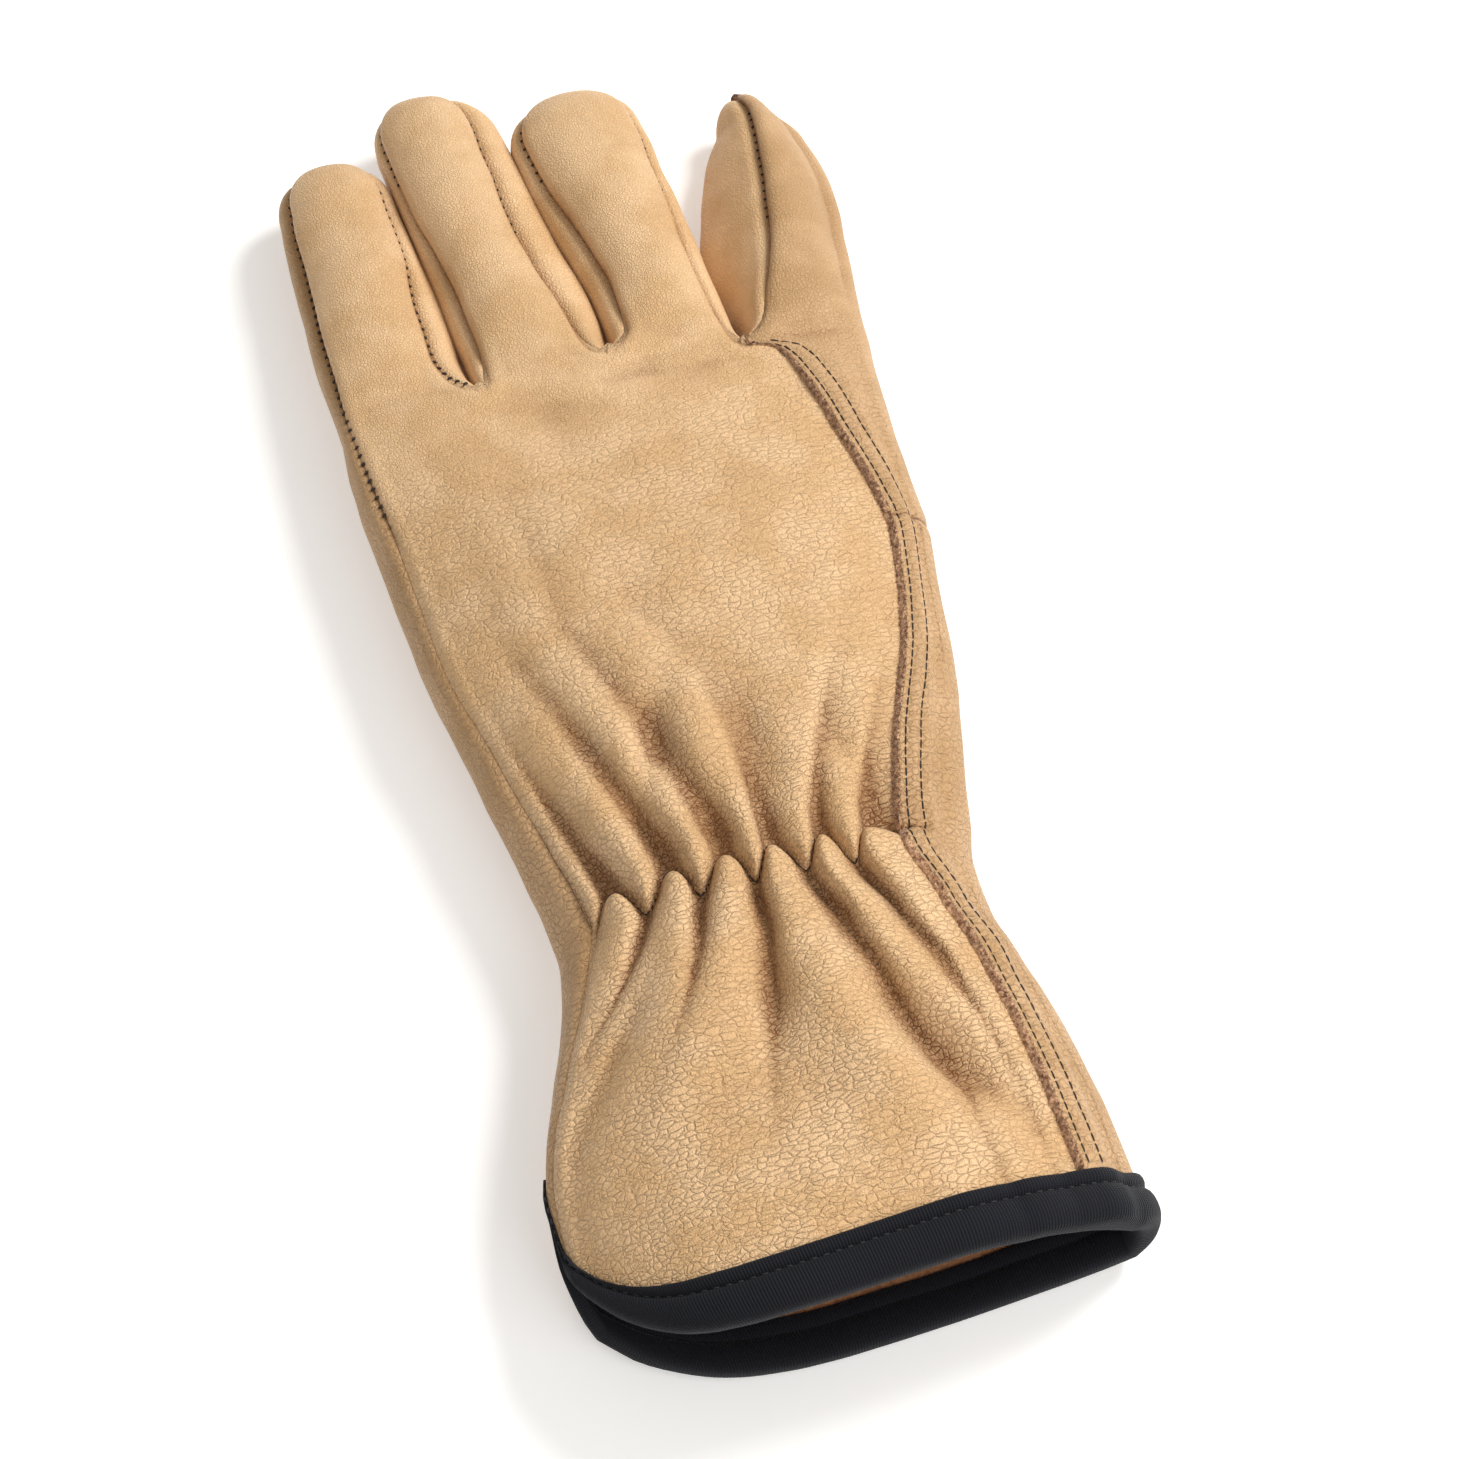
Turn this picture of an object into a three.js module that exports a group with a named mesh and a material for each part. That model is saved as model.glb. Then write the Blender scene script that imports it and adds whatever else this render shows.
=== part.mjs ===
// A leather gardening glove for the left hand, lying on its palm with the thumb folded under it.
// Millimetres. +Y runs from the cuff to the fingertips, +X to the index finger, +Z up.
import * as THREE from "three";

// Hand and cuff
const HAND_WIDTH = 110;
const HAND_LENGTH = 128.5;
const CUFF_LENGTH = 93.5;
const GLOVE_HEIGHT = 36;

// Fingers: root to tip, and width over the back
const PINKY_LENGTH = 73;
const RING_LENGTH = 84;
const MIDDLE_LENGTH = 75;
const INDEX_LENGTH = 70;
const PINKY_WIDTH = 23;
const RING_WIDTH = 21;
const MIDDLE_WIDTH = 22;
const INDEX_WIDTH = 28;
const FINGER_HEIGHT = 22;
const TIP_LENGTH = 12;

// Thumb, folded flat under the palm
const THUMB_LENGTH = 62;
const THUMB_WIDTH = 30;
const THUMB_HEIGHT = 10.6;

// Leather, seams and the wrist gathers. LAP_SHARE: how far the back runs on under the side piece,
// as a share of the way from the lap to the edge.
const LEATHER = 1.3;
const SEAM_GAP = 0.3;
const LAP_SHARE = 0.55;
const PLEAT_DEPTH = 2.3;
const PLEAT_ZIGZAG = 4;
const PLEAT_GROOVE = 1.6;
const PLEAT_REACH_HAND = 17;
const PLEAT_REACH_CUFF = 22;

// Binding of the cuff
const BINDING_WIDTH = 10;
const BINDING_CLOTH = 1.3;
const BINDING_ROLL = 0.8;
const BINDING_GAP = 0.6;

// Where the middle of the part's footprint lies from the wrist's middle
const ORIGIN_X = -3.2;
const ORIGIN_Y = 58.2;

// Where the soft undersides lie flat
const FLOOR = 0;

const HALF_WIDTH = HAND_WIDTH / 2;

// A table's rows of numbers under the names of its columns.
function table(columns, rows) {
  const names = columns.split(" ");
  return rows.map((row) => Object.fromEntries(names.map((name, i) => [name, row[i]])));
}

// Sections of hand and cuff. at: share of the cuff's length (below 0) or the hand's (above 0) from
// the wrist.
// seam, edge, heelL, heelR: shares of the half width. lap: share of the way across the back.
// Heights seamZ to arch are shares of the glove's height; rollL and rollR of the half width.
const BODY = table("at seam edge lap seamZ edgeZ crown flat rollL rollR heelL heelR heelZL heelZR arch", [
  [-1, -1.2, 0.664, 0.915, 0.47, 0.61, 0.42, 3.4, 0.04, 0.064, -1.17, 0.67, 0.17, 0.14, -0.088],
  [-0.72, -1.264, 0.673, 0.915, 0.5, 0.64, 0.44, 3.2, 0.04, 0.064, -1.22, 0.69, 0.17, 0.14, -0.098],
  [-0.56, -1.236, 0.651, 0.92, 0.56, 0.66, 0.41, 3.1, 0.045, 0.064, -1.18, 0.66, 0.17, 0.14, -0.12],
  [-0.44, -1.17, 0.627, 0.922, 0.61, 0.67, 0.375, 3, 0.055, 0.064, -1.12, 0.636, 0.17, 0.14, -0.14],
  [-0.342, -1.075, 0.61, 0.918, 0.65, 0.67, 0.34, 2.9, 0.065, 0.064, -1.04, 0.6, 0.17, 0.14, -0.13],
  [-0.21, -0.945, 0.564, 0.907, 0.67, 0.66, 0.31, 2.8, 0.082, 0.064, -0.918, 0.582, 0.17, 0.15, -0.11],
  [-0.09, -0.845, 0.564, 0.862, 0.66, 0.65, 0.28, 2.6, 0.112, 0.064, -0.83, 0.58, 0.165, 0.2, -0.05],
  [0, -0.79, 0.6, 0.85, 0.64, 0.64, 0.26, 2.6, 0.128, 0.064, -0.8, 0.618, 0.16, 0.25, 0.03],
  [0.074, -0.8, 0.649, 0.858, 0.62, 0.65, 0.27, 2.7, 0.122, 0.064, -0.8, 0.664, 0.15, 0.29, 0.08],
  [0.139, -0.824, 0.7, 0.868, 0.61, 0.67, 0.28, 2.8, 0.109, 0.062, -0.818, 0.71, 0.14, 0.3, 0.12],
  [0.245, -0.867, 0.775, 0.9, 0.61, 0.68, 0.29, 2.9, 0.09, 0.055, -0.86, 0.78, 0.14, 0.3, 0.15],
  [0.354, -0.91, 0.84, 0.925, 0.61, 0.68, 0.29, 3, 0.078, 0.05, -0.9, 0.845, 0.14, 0.29, 0.16],
  [0.51, -0.962, 0.908, 0.94, 0.61, 0.67, 0.27, 3.1, 0.07, 0.047, -0.94, 0.912, 0.14, 0.28, 0.153],
  [0.603, -0.967, 0.932, 0.926, 0.61, 0.65, 0.25, 3.2, 0.075, 0.045, -0.947, 0.937, 0.14, 0.28, 0.15],
  [0.712, -0.968, 0.952, 0.903, 0.605, 0.62, 0.21, 3.1, 0.08, 0.045, -0.95, 0.955, 0.145, 0.25, 0.12],
  [0.852, -0.98, 0.985, 0.868, 0.59, 0.57, 0.165, 3, 0.075, 0.047, -0.962, 0.985, 0.155, 0.19, 0.03],
  [0.92, -0.985, 1.007, 0.835, 0.575, 0.54, 0.15, 3, 0.06, 0.05, -0.967, 1.005, 0.16, 0.17, -0.03],
  [0.946, -0.987, 1.01, 0.777, 0.57, 0.53, 0.15, 3, 0.055, 0.052, -0.97, 1.008, 0.165, 0.165, -0.05],
  [1.02, -0.99, 1.03, 0.77, 0.55, 0.51, 0.15, 3, 0.03, 0.055, -0.973, 1.02, 0.17, 0.165, -0.08],
]);

// Rows of the hand and cuff, as shares like BODY's at; the rim's first rows follow the binding's width.
const BODY_ROWS = [
  -0.78, -0.66, -0.55, -0.45, -0.36, -0.28, -0.21, -0.15, -0.102, -0.063, -0.03, 0.002, 0.03, 0.06,
  0.095, 0.137, 0.187, 0.25, 0.33, 0.43, 0.53, 0.64, 0.74, 0.83, 0.9, 0.955, 1,
];
const CROSS_SEAM_ROW = 20;

// How far the rim draws back from the cuff's full length, in shares of that length, along each side
// of its loop: over the back, down the right, under the palm and up the left.
const RIM_BACK = [
  table("along back", [
    [0, 0.27],
    [0.02, 0.205],
    [0.05, 0.135],
    [0.09, 0.08],
    [0.13, 0.048],
    [0.18, 0.026],
    [0.27, 0.008],
    [0.4, 0],
    [1, -0.006],
  ]),
  table("along back", [
    [0, -0.006],
    [0.5, 0.012],
    [1, 0.006],
  ]),
  table("along back", [
    [0, 0.006],
    [0.58, 0],
    [0.74, 0.015],
    [0.82, 0.035],
    [0.89, 0.07],
    [0.95, 0.115],
    [1, 0.18],
  ]),
  table("along back", [
    [0, 0.18],
    [0.3, 0.34],
    [0.6, 0.49],
    [0.8, 0.44],
    [1, 0.27],
  ]),
];

// How far the finger roots step back from the hand's full length, in shares of it.
const ROOT_STEP = { seam: 0.015, pinkyRing: 0, ringMiddle: 0, middleIndex: -0.054, edge: -0.066 };
const ROOT_SHARE = { pinkyRing: 0.342, ringMiddle: 0.676 };

// Wrist pleats: where each puff of the cuff (whole phase) and of the hand (half phase) sits,
// as a share of the way from the seam to the lap.
const PLEATS = table("across phase", [
  [0, -0.5],
  [0.08, 0],
  [0.18, 0.5],
  [0.245, 1],
  [0.36, 1.5],
  [0.44, 2],
  [0.535, 2.5],
  [0.6, 3],
  [0.715, 3.5],
  [0.775, 4],
  [0.88, 4.5],
  [0.935, 5],
  [1, 5.5],
]);

// Dents and puffs of the back. across: share from seam to lap; at: as in BODY; wide: share of the
// half width; long: share of the hand's length; turn: degrees; rise: share of the glove's height.
const DENTS = table("across at wide long turn rise", [
  [0.5, -0.42, 0.1, 0.13, 8, -0.1],
  [0.86, -0.5, 0.08, 0.17, 18, -0.085],
  [0.68, -0.42, 0.11, 0.16, 10, 0.05],
  [0.28, -0.38, 0.12, 0.16, -14, 0.05],
  [0.13, -0.36, 0.07, 0.15, -20, -0.07],
  [0.42, 0.17, 0.09, 0.08, -12, 0.06],
  [0.3, 0.19, 0.08, 0.13, -24, -0.06],
  [0.6, 0.2, 0.07, 0.12, 10, -0.055],
  [0.86, 0.15, 0.07, 0.12, 22, -0.06],
  [0.342, 0.96, 0.07, 0.07, 0, -0.05],
  [0.676, 0.96, 0.07, 0.06, 0, -0.05],
]);

// Fingers: at is the share of the length from root to tip. left, right, heelL, heelR: shares of the
// width from the finger's middle line; the rest are shares of the finger height.
const FINGERS = {
  pinky: {
    length: PINKY_LENGTH,
    width: PINKY_WIDTH,
    middle: -0.727,
    tipX: 0.05,
    tipZ: 0.5,
    rows: table("at left right heelL heelR leftZ rightZ crown heelZL heelZR arch bulgeL bulgeR", [
      [0, -0.626, 0.652, -0.59, 0.652, 0.9, 1.08, 0.1, 0.28, 0.16, -0.06, 0.1, 0],
      [0.007, -0.624, 0.59, -0.588, 0.59, 0.9, 1.07, 0.1, 0.28, 0.16, -0.06, 0.1, 0],
      [0.03, -0.622, 0.535, -0.586, 0.545, 0.89, 1.03, 0.11, 0.28, 0.17, -0.06, 0.1, 0.07],
      [0.09, -0.613, 0.435, -0.58, 0.48, 0.87, 0.95, 0.15, 0.28, 0.22, -0.08, 0.1, 0.16],
      [0.2, -0.585, 0.375, -0.56, 0.43, 0.83, 0.86, 0.2, 0.28, 0.27, -0.18, 0.11, 0.215],
      [0.38, -0.557, 0.39, -0.54, 0.44, 0.78, 0.8, 0.25, 0.27, 0.28, -0.28, 0.11, 0.225],
      [0.6, -0.505, 0.46, -0.48, 0.47, 0.74, 0.76, 0.27, 0.26, 0.27, -0.32, 0.12, 0.14],
      [0.84, -0.415, 0.49, -0.39, 0.47, 0.7, 0.72, 0.26, 0.26, 0.27, -0.32, 0.11, 0.1],
    ]),
  },
  ring: {
    length: RING_LENGTH,
    width: RING_WIDTH,
    middle: -0.2,
    tipX: -0.21,
    tipZ: 0.5,
    rows: table("at left right heelL heelR leftZ rightZ crown heelZL heelZR arch bulgeL bulgeR", [
      [0, -0.667, 0.705, -0.667, 0.705, 1.08, 1.09, 0.04, 0.16, 0.14, -0.04, 0, 0],
      [0.006, -0.62, 0.625, -0.62, 0.625, 1.07, 1.08, 0.05, 0.16, 0.14, -0.04, 0, 0],
      [0.027, -0.595, 0.565, -0.6, 0.575, 1.03, 1.04, 0.08, 0.17, 0.16, -0.05, 0.03, 0.08],
      [0.08, -0.565, 0.51, -0.59, 0.54, 0.95, 0.96, 0.15, 0.22, 0.22, -0.08, 0.1, 0.2],
      [0.18, -0.543, 0.462, -0.58, 0.5, 0.86, 0.88, 0.21, 0.27, 0.27, -0.23, 0.13, 0.31],
      [0.32, -0.54, 0.37, -0.58, 0.43, 0.8, 0.83, 0.25, 0.28, 0.28, -0.3, 0.14, 0.37],
      [0.48, -0.595, 0.3, -0.62, 0.36, 0.78, 0.8, 0.26, 0.28, 0.28, -0.32, 0.1, 0.37],
      [0.66, -0.68, 0.285, -0.68, 0.33, 0.75, 0.77, 0.27, 0.27, 0.27, -0.33, 0.05, 0.33],
      [0.86, -0.7, 0.29, -0.68, 0.31, 0.71, 0.73, 0.26, 0.27, 0.27, -0.32, 0.06, 0.27],
    ]),
  },
  middle: {
    length: MIDDLE_LENGTH,
    width: MIDDLE_WIDTH,
    middle: 0.31,
    tipX: -0.02,
    tipZ: 0.5,
    rows: table("at left right heelL heelR leftZ rightZ crown heelZL heelZR arch bulgeL bulgeR", [
      [0, -0.602, 0.634, -0.602, 0.634, 1.09, 1.1, 0.04, 0.14, 0.16, -0.04, 0, 0],
      [0.007, -0.54, 0.6, -0.54, 0.6, 1.08, 1.09, 0.05, 0.14, 0.16, -0.04, 0, 0],
      [0.03, -0.465, 0.575, -0.475, 0.58, 1.04, 1.05, 0.08, 0.16, 0.17, -0.05, 0.03, 0.03],
      [0.07, -0.38, 0.55, -0.41, 0.565, 0.98, 0.98, 0.13, 0.21, 0.21, -0.07, 0.09, 0.06],
      [0.16, -0.35, 0.522, -0.39, 0.55, 0.9, 0.9, 0.2, 0.26, 0.27, -0.18, 0.14, 0.13],
      [0.26, -0.345, 0.51, -0.39, 0.54, 0.85, 0.85, 0.24, 0.28, 0.28, -0.28, 0.16, 0.15],
      [0.38, -0.385, 0.512, -0.43, 0.535, 0.82, 0.82, 0.26, 0.28, 0.28, -0.32, 0.17, 0.16],
      [0.52, -0.465, 0.53, -0.5, 0.54, 0.79, 0.79, 0.27, 0.27, 0.27, -0.32, 0.17, 0.14],
      [0.66, -0.56, 0.54, -0.575, 0.54, 0.76, 0.76, 0.27, 0.27, 0.27, -0.32, 0.13, 0.11],
      [0.84, -0.615, 0.545, -0.6, 0.53, 0.73, 0.73, 0.26, 0.27, 0.27, -0.3, 0.1, 0.08],
    ]),
  },
  index: {
    length: INDEX_LENGTH,
    width: INDEX_WIDTH,
    middle: 0.8,
    tipX: 0.29,
    tipZ: 0.45,
    rows: table("at left right heelL heelR leftZ rightZ crown heelZL heelZR arch bulgeL bulgeR", [
      [0, -0.464, 0.41, -0.464, 0.4, 1.1, 0.87, 0.1, 0.16, 0.27, -0.05, 0, 0.125],
      [0.008, -0.41, 0.412, -0.43, 0.402, 1.1, 0.87, 0.1, 0.16, 0.27, -0.05, 0, 0.125],
      [0.03, -0.345, 0.418, -0.395, 0.406, 1.08, 0.86, 0.11, 0.17, 0.27, -0.06, 0.01, 0.125],
      [0.065, -0.265, 0.43, -0.385, 0.415, 1.06, 0.84, 0.13, 0.18, 0.27, -0.08, 0.03, 0.125],
      [0.165, -0.16, 0.48, -0.385, 0.45, 1.02, 0.78, 0.17, 0.2, 0.26, -0.17, 0.06, 0.125],
      [0.265, -0.046, 0.53, -0.385, 0.49, 1, 0.72, 0.19, 0.22, 0.25, -0.23, 0.08, 0.125],
      [0.365, 0.046, 0.575, -0.42, 0.53, 0.98, 0.68, 0.2, 0.23, 0.25, -0.26, 0.09, 0.125],
      [0.51, 0.139, 0.645, -0.375, 0.59, 0.95, 0.63, 0.21, 0.23, 0.25, -0.28, 0.1, 0.125],
      [0.63, 0.21, 0.665, -0.27, 0.61, 0.91, 0.6, 0.2, 0.23, 0.25, -0.28, 0.1, 0.125],
      [0.8, 0.295, 0.625, -0.07, 0.57, 0.83, 0.57, 0.17, 0.24, 0.26, -0.26, 0.1, 0.125],
      [0.9, 0.34, 0.575, 0.1, 0.53, 0.76, 0.56, 0.14, 0.26, 0.28, -0.25, 0.09, 0.07],
    ]),
  },
};
const FINGER_ROWS = [0.007, 0.03, 0.075, 0.15, 0.26, 0.4, 0.55, 0.7];
const TIP_TURNS = [0, 27, 50, 71, 90];
const BLEND_SHARE = 0.3;

// Columns round a section: across the back, down the walls and across the palm.
const COLUMNS = {
  pinky: { top: 8, bottom: 3 },
  ring: { top: 9, bottom: 3 },
  middle: { top: 8, bottom: 4 },
  index: { top: 5, bottom: 4 },
};
const WALL_COLUMNS = 3;
const LAP_COLUMNS = 2;
const FINGER_NAMES = ["pinky", "ring", "middle", "index"];

// Thumb sections: front and back points of each ring, as shares of the thumb's length (Y, from the
// front of its mouth) and height (Z); wide: share of its width; shift: share of its width; oval: 0 to 1.
const THUMB_RINGS = table("frontY frontZ backY backZ wide shift oval from", [
  [0, 0.98, -0.37, 0.6, 0.8, 0, 0.2, 0.42],
  [0.012, 0.98, -0.32, 0.36, 0.9, 0, 0.45, 0.12],
  [0.035, 0.98, -0.21, 0.14, 0.98, -0.01, 0.75, 0],
  [0.08, 0.99, -0.05, 0.03, 1, -0.03, 0.9, 0],
  [0.17, 1, 0.11, -0.05, 1, -0.06, 1, 0],
  [0.31, 1, 0.29, -0.08, 0.98, -0.11, 1, 0],
  [0.47, 1, 0.47, -0.08, 0.95, -0.17, 1, 0],
  [0.63, 1, 0.63, -0.07, 0.9, -0.24, 1, 0],
  [0.77, 0.99, 0.77, -0.03, 0.83, -0.3, 1, 0],
  [0.88, 0.93, 0.88, 0.07, 0.69, -0.34, 1, 0],
  [0.955, 0.8, 0.955, 0.2, 0.45, -0.37, 1, 0],
  [1, 0.5, 1, 0.5, 0, -0.38, 1, 0],
]);
const THUMB_HOLE = { firstRow: 14, lastRow: 19, firstColumn: 1, lastColumn: 7 };

const LEATHER_LOOK = { color: 0xd9b27c, roughness: 0.62, metalness: 0 };
const LEATHERS = {
  back_panel: 0xdbb57f,
  palm_panel: 0xd0a86f,
  index_wrap: 0xd5ae77,
  fourchette_pinky_ring: 0xcaa066,
  fourchette_ring_middle: 0xcaa066,
  fourchette_middle_index: 0xcaa066,
  thumb: 0xcfa66c,
};
const BINDING_LOOK = { color: 0x23262f, roughness: 0.85, metalness: 0 };

const mix = (a, b, t) => a + (b - a) * t;
const clamp = (v, low, high) => Math.min(high, Math.max(low, v));
const smooth = (t) => {
  const c = clamp(t, 0, 1);
  return c * c * (3 - 2 * c);
};

// A curve through a table's column that never swings past its points.
function curveOf(rows, keyAt, key) {
  const xs = rows.map((row) => row[keyAt]);
  const ys = rows.map((row) => row[key]);
  const step = xs.slice(1).map((x, i) => (ys[i + 1] - ys[i]) / (x - xs[i]));
  const slope = xs.map((_, i) => {
    if (i === 0) return step[0];
    if (i === xs.length - 1) return step[i - 1];
    return step[i - 1] * step[i] <= 0 ? 0 : (2 * step[i - 1] * step[i]) / (step[i - 1] + step[i]);
  });
  return (at) => {
    const x = clamp(at, xs[0], xs[xs.length - 1]);
    let i = 0;
    while (i < xs.length - 2 && x > xs[i + 1]) i += 1;
    const h = xs[i + 1] - xs[i];
    const t = (x - xs[i]) / h;
    const a = ys[i] * (1 + 2 * t) * (1 - t) ** 2 + slope[i] * h * t * (1 - t) ** 2;
    return a + ys[i + 1] * t * t * (3 - 2 * t) + slope[i + 1] * h * t * t * (t - 1);
  };
}

function curvesOf(rows, keyAt) {
  const keys = Object.keys(rows[0]).filter((key) => key !== keyAt);
  const curves = keys.map((key) => [key, curveOf(rows, keyAt, key)]);
  return (at) => Object.fromEntries(curves.map(([key, curve]) => [key, curve(at)]));
}

// A point of a four-sided section: 0 over the back, 1 down the right wall, 2 back under the palm,
// 3 up the left wall. t runs from 0 to 1 along each side.
function sectionPoint(s, side, t) {
  const swell = (power) => 1 - Math.abs(2 * t - 1) ** power;
  if (side === 0) {
    return [mix(s.left, s.right, t), mix(s.leftZ, s.rightZ, t) + s.crown * swell(s.flat)];
  }
  if (side === 1) {
    return [mix(s.right, s.heelR, t) + s.bulgeR * swell(2.3), mix(s.rightZ, s.heelZR, t)];
  }
  if (side === 2) {
    const z = mix(s.heelZR, s.heelZL, t) + s.arch * swell(2.6);
    return [mix(s.heelR, s.heelL, t), Math.max(z, FLOOR)];
  }
  return [mix(s.heelL, s.left, t) - s.bulgeL * swell(2.3), mix(s.heelZL, s.leftZ, t)];
}

const bodyCurves = curvesOf(BODY, "at");
const pleatPhase = curveOf(PLEATS, "across", "phase");
const shareY = (share) => share * (share < 0 ? CUFF_LENGTH : HAND_LENGTH);
const yShare = (y) => y / (y < 0 ? CUFF_LENGTH : HAND_LENGTH);

// The puffs, grooves and dents that raise or sink the back at a share across it.
function relief(across, y) {
  const wave = Math.cos(2 * Math.PI * pleatPhase(clamp(across, 0, 1)));
  const off = y - PLEAT_ZIGZAG * wave;
  const reach = off > 0 ? PLEAT_REACH_HAND : PLEAT_REACH_CUFF;
  const fade = smooth(across / 0.06) * smooth((1.12 - across) / 0.14);
  let rise = -PLEAT_DEPTH * wave * Math.tanh(off / 1.8) * Math.exp(-Math.abs(off) / reach);
  rise -= PLEAT_GROOVE * Math.exp(-((off / 2.2) ** 2));
  const acrossWidth = 1.5 * HALF_WIDTH;
  for (const d of DENTS) {
    const turn = THREE.MathUtils.degToRad(d.turn);
    const dx = (across - d.across) * acrossWidth;
    const dy = y - shareY(d.at);
    const wide = (dx * Math.cos(turn) + dy * Math.sin(turn)) / (d.wide * HALF_WIDTH);
    const long = (dy * Math.cos(turn) - dx * Math.sin(turn)) / (d.long * HAND_LENGTH);
    rise += d.rise * GLOVE_HEIGHT * Math.exp(-(wide ** 2) - long ** 2);
  }
  return rise * fade;
}

function bodySection(y) {
  const row = bodyCurves(yShare(y));
  return {
    left: row.seam * HALF_WIDTH,
    right: row.edge * HALF_WIDTH,
    leftZ: row.seamZ * GLOVE_HEIGHT,
    rightZ: row.edgeZ * GLOVE_HEIGHT,
    crown: row.crown * GLOVE_HEIGHT,
    flat: row.flat,
    heelL: row.heelL * HALF_WIDTH,
    heelR: row.heelR * HALF_WIDTH,
    heelZL: row.heelZL * GLOVE_HEIGHT,
    heelZR: row.heelZR * GLOVE_HEIGHT,
    arch: row.arch * GLOVE_HEIGHT,
    bulgeL: row.rollL * HALF_WIDTH,
    bulgeR: row.rollR * HALF_WIDTH,
    lap: row.lap,
  };
}

// How far a row of the body is pushed along Y at one place of its loop.
const rimCurves = RIM_BACK.map((rows) => curveOf(rows, "along", "back"));
const rootCurve = curveOf(
  [
    { along: 0, step: ROOT_STEP.seam },
    { along: ROOT_SHARE.pinkyRing, step: ROOT_STEP.pinkyRing },
    { along: ROOT_SHARE.ringMiddle, step: ROOT_STEP.ringMiddle },
    { along: 1, step: ROOT_STEP.middleIndex },
    { along: 2, step: ROOT_STEP.edge },
  ],
  "along",
  "step",
);
function pushAlong(side, t, group, y) {
  const rimPart = clamp((-0.13 * CUFF_LENGTH - y) / (0.87 * CUFF_LENGTH), 0, 1) ** 1.5;
  const rootPart = smooth((y / HAND_LENGTH - 0.62) / 0.38);
  return rimCurves[side](t) * CUFF_LENGTH * rimPart + rootCurve(group) * HAND_LENGTH * rootPart;
}

// group: 0 at the seam, 1 at the lap, 2 at the edge, which ties the finger roots to the columns.
function bodyPoint(side, group, row) {
  const root = [group, 2, 2 - group, 0][side];
  let t = group;
  let y = row;
  for (let pass = 0; pass < 6; pass += 1) {
    const lap = bodyCurves(yShare(y)).lap;
    if (side === 0) t = group < 1 ? group * lap : mix(lap, 1, group - 1);
    if (side === 2) t = group < 1 ? group * (1 - lap) : mix(1 - lap, 1, group - 1);
    y = row + pushAlong(side, t, root, row);
  }
  const s = bodySection(y);
  const [x, z] = sectionPoint(s, side, t);
  return [x, y, z + (side === 0 ? relief(t / s.lap, y) : 0)];
}

// Every surface point once, and the faces between them with the piece that they belong to.
const points = [];
const pointKeys = new Map();
const faces = [];
function pointIndex(p) {
  const key = p.map((v) => Math.round(v * 2000)).join(",");
  if (!pointKeys.has(key)) {
    pointKeys.set(key, points.length);
    points.push(new THREE.Vector3(...p));
  }
  return pointKeys.get(key);
}
function addGrid(grid, pieceOf) {
  for (let j = 0; j + 1 < grid.length; j += 1) {
    for (let i = 0; i + 1 < grid[j].length; i += 1) {
      const piece = pieceOf(i, j);
      if (!piece) continue;
      const ring = [grid[j][i], grid[j][i + 1], grid[j + 1][i + 1], grid[j + 1][i]];
      const span = (a, b) => points[ring[a]].distanceTo(points[ring[b]]);
      const turned = span(1, 3) < span(0, 2) ? [...ring.slice(1), ring[0]] : ring;
      const corners = turned.filter((v, n) => v !== turned[(n + 1) % 4]);
      if (corners.length > 2) faces.push({ corners, piece });
    }
  }
}

// Columns of each side of the body's loop, as groups for bodyPoint.
function spread(from, to, count, ease = 1) {
  return Array.from({ length: count }, (_, i) => mix(from, to, (i / count) ** ease));
}
const topColumns = [
  ...spread(0, ROOT_SHARE.pinkyRing, COLUMNS.pinky.top, 1.25),
  ...spread(ROOT_SHARE.pinkyRing, ROOT_SHARE.ringMiddle, COLUMNS.ring.top),
  ...spread(ROOT_SHARE.ringMiddle, 1, COLUMNS.middle.top),
  ...spread(1, 1 + LAP_SHARE, LAP_COLUMNS),
  ...spread(1 + LAP_SHARE, 2, COLUMNS.index.top - LAP_COLUMNS),
  2,
];
const wallColumns = [...spread(0, 1, WALL_COLUMNS), 1];
const bottomColumns = [
  ...spread(0, 1, COLUMNS.index.bottom),
  ...spread(1, 2 - ROOT_SHARE.ringMiddle, COLUMNS.middle.bottom),
  ...spread(2 - ROOT_SHARE.ringMiddle, 2 - ROOT_SHARE.pinkyRing, COLUMNS.ring.bottom),
  ...spread(2 - ROOT_SHARE.pinkyRing, 2, COLUMNS.pinky.bottom),
  2,
];
const SIDE_COLUMNS = [topColumns, wallColumns, bottomColumns, wallColumns];

const rimRow = -CUFF_LENGTH;
const bodyRows = [
  rimRow,
  rimRow + BINDING_WIDTH / 2,
  rimRow + BINDING_WIDTH,
  ...BODY_ROWS.map(shareY),
];
const CROSS_ROW = bodyRows.length - BODY_ROWS.length + CROSS_SEAM_ROW;
const bodyGrids = SIDE_COLUMNS.map((columns, side) =>
  bodyRows.map((row) => columns.map((group) => pointIndex(bodyPoint(side, group, row)))),
);
const lastRow = bodyRows.length - 1;
const lapColumn = COLUMNS.pinky.top + COLUMNS.ring.top + COLUMNS.middle.top;
const inThumbHole = (i, j) =>
  i >= THUMB_HOLE.firstColumn &&
  i < THUMB_HOLE.lastColumn &&
  j >= THUMB_HOLE.firstRow &&
  j < THUMB_HOLE.lastRow;
addGrid(bodyGrids[0], (i, j) => {
  if (i < lapColumn) return "back_panel";
  return j < CROSS_ROW ? "palm_panel" : "index_wrap";
});
addGrid(bodyGrids[1], (i, j) => (j < CROSS_ROW ? "palm_panel" : "index_wrap"));
addGrid(bodyGrids[2], (i, j) => (inThumbHole(i, j) ? null : "palm_panel"));
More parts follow.
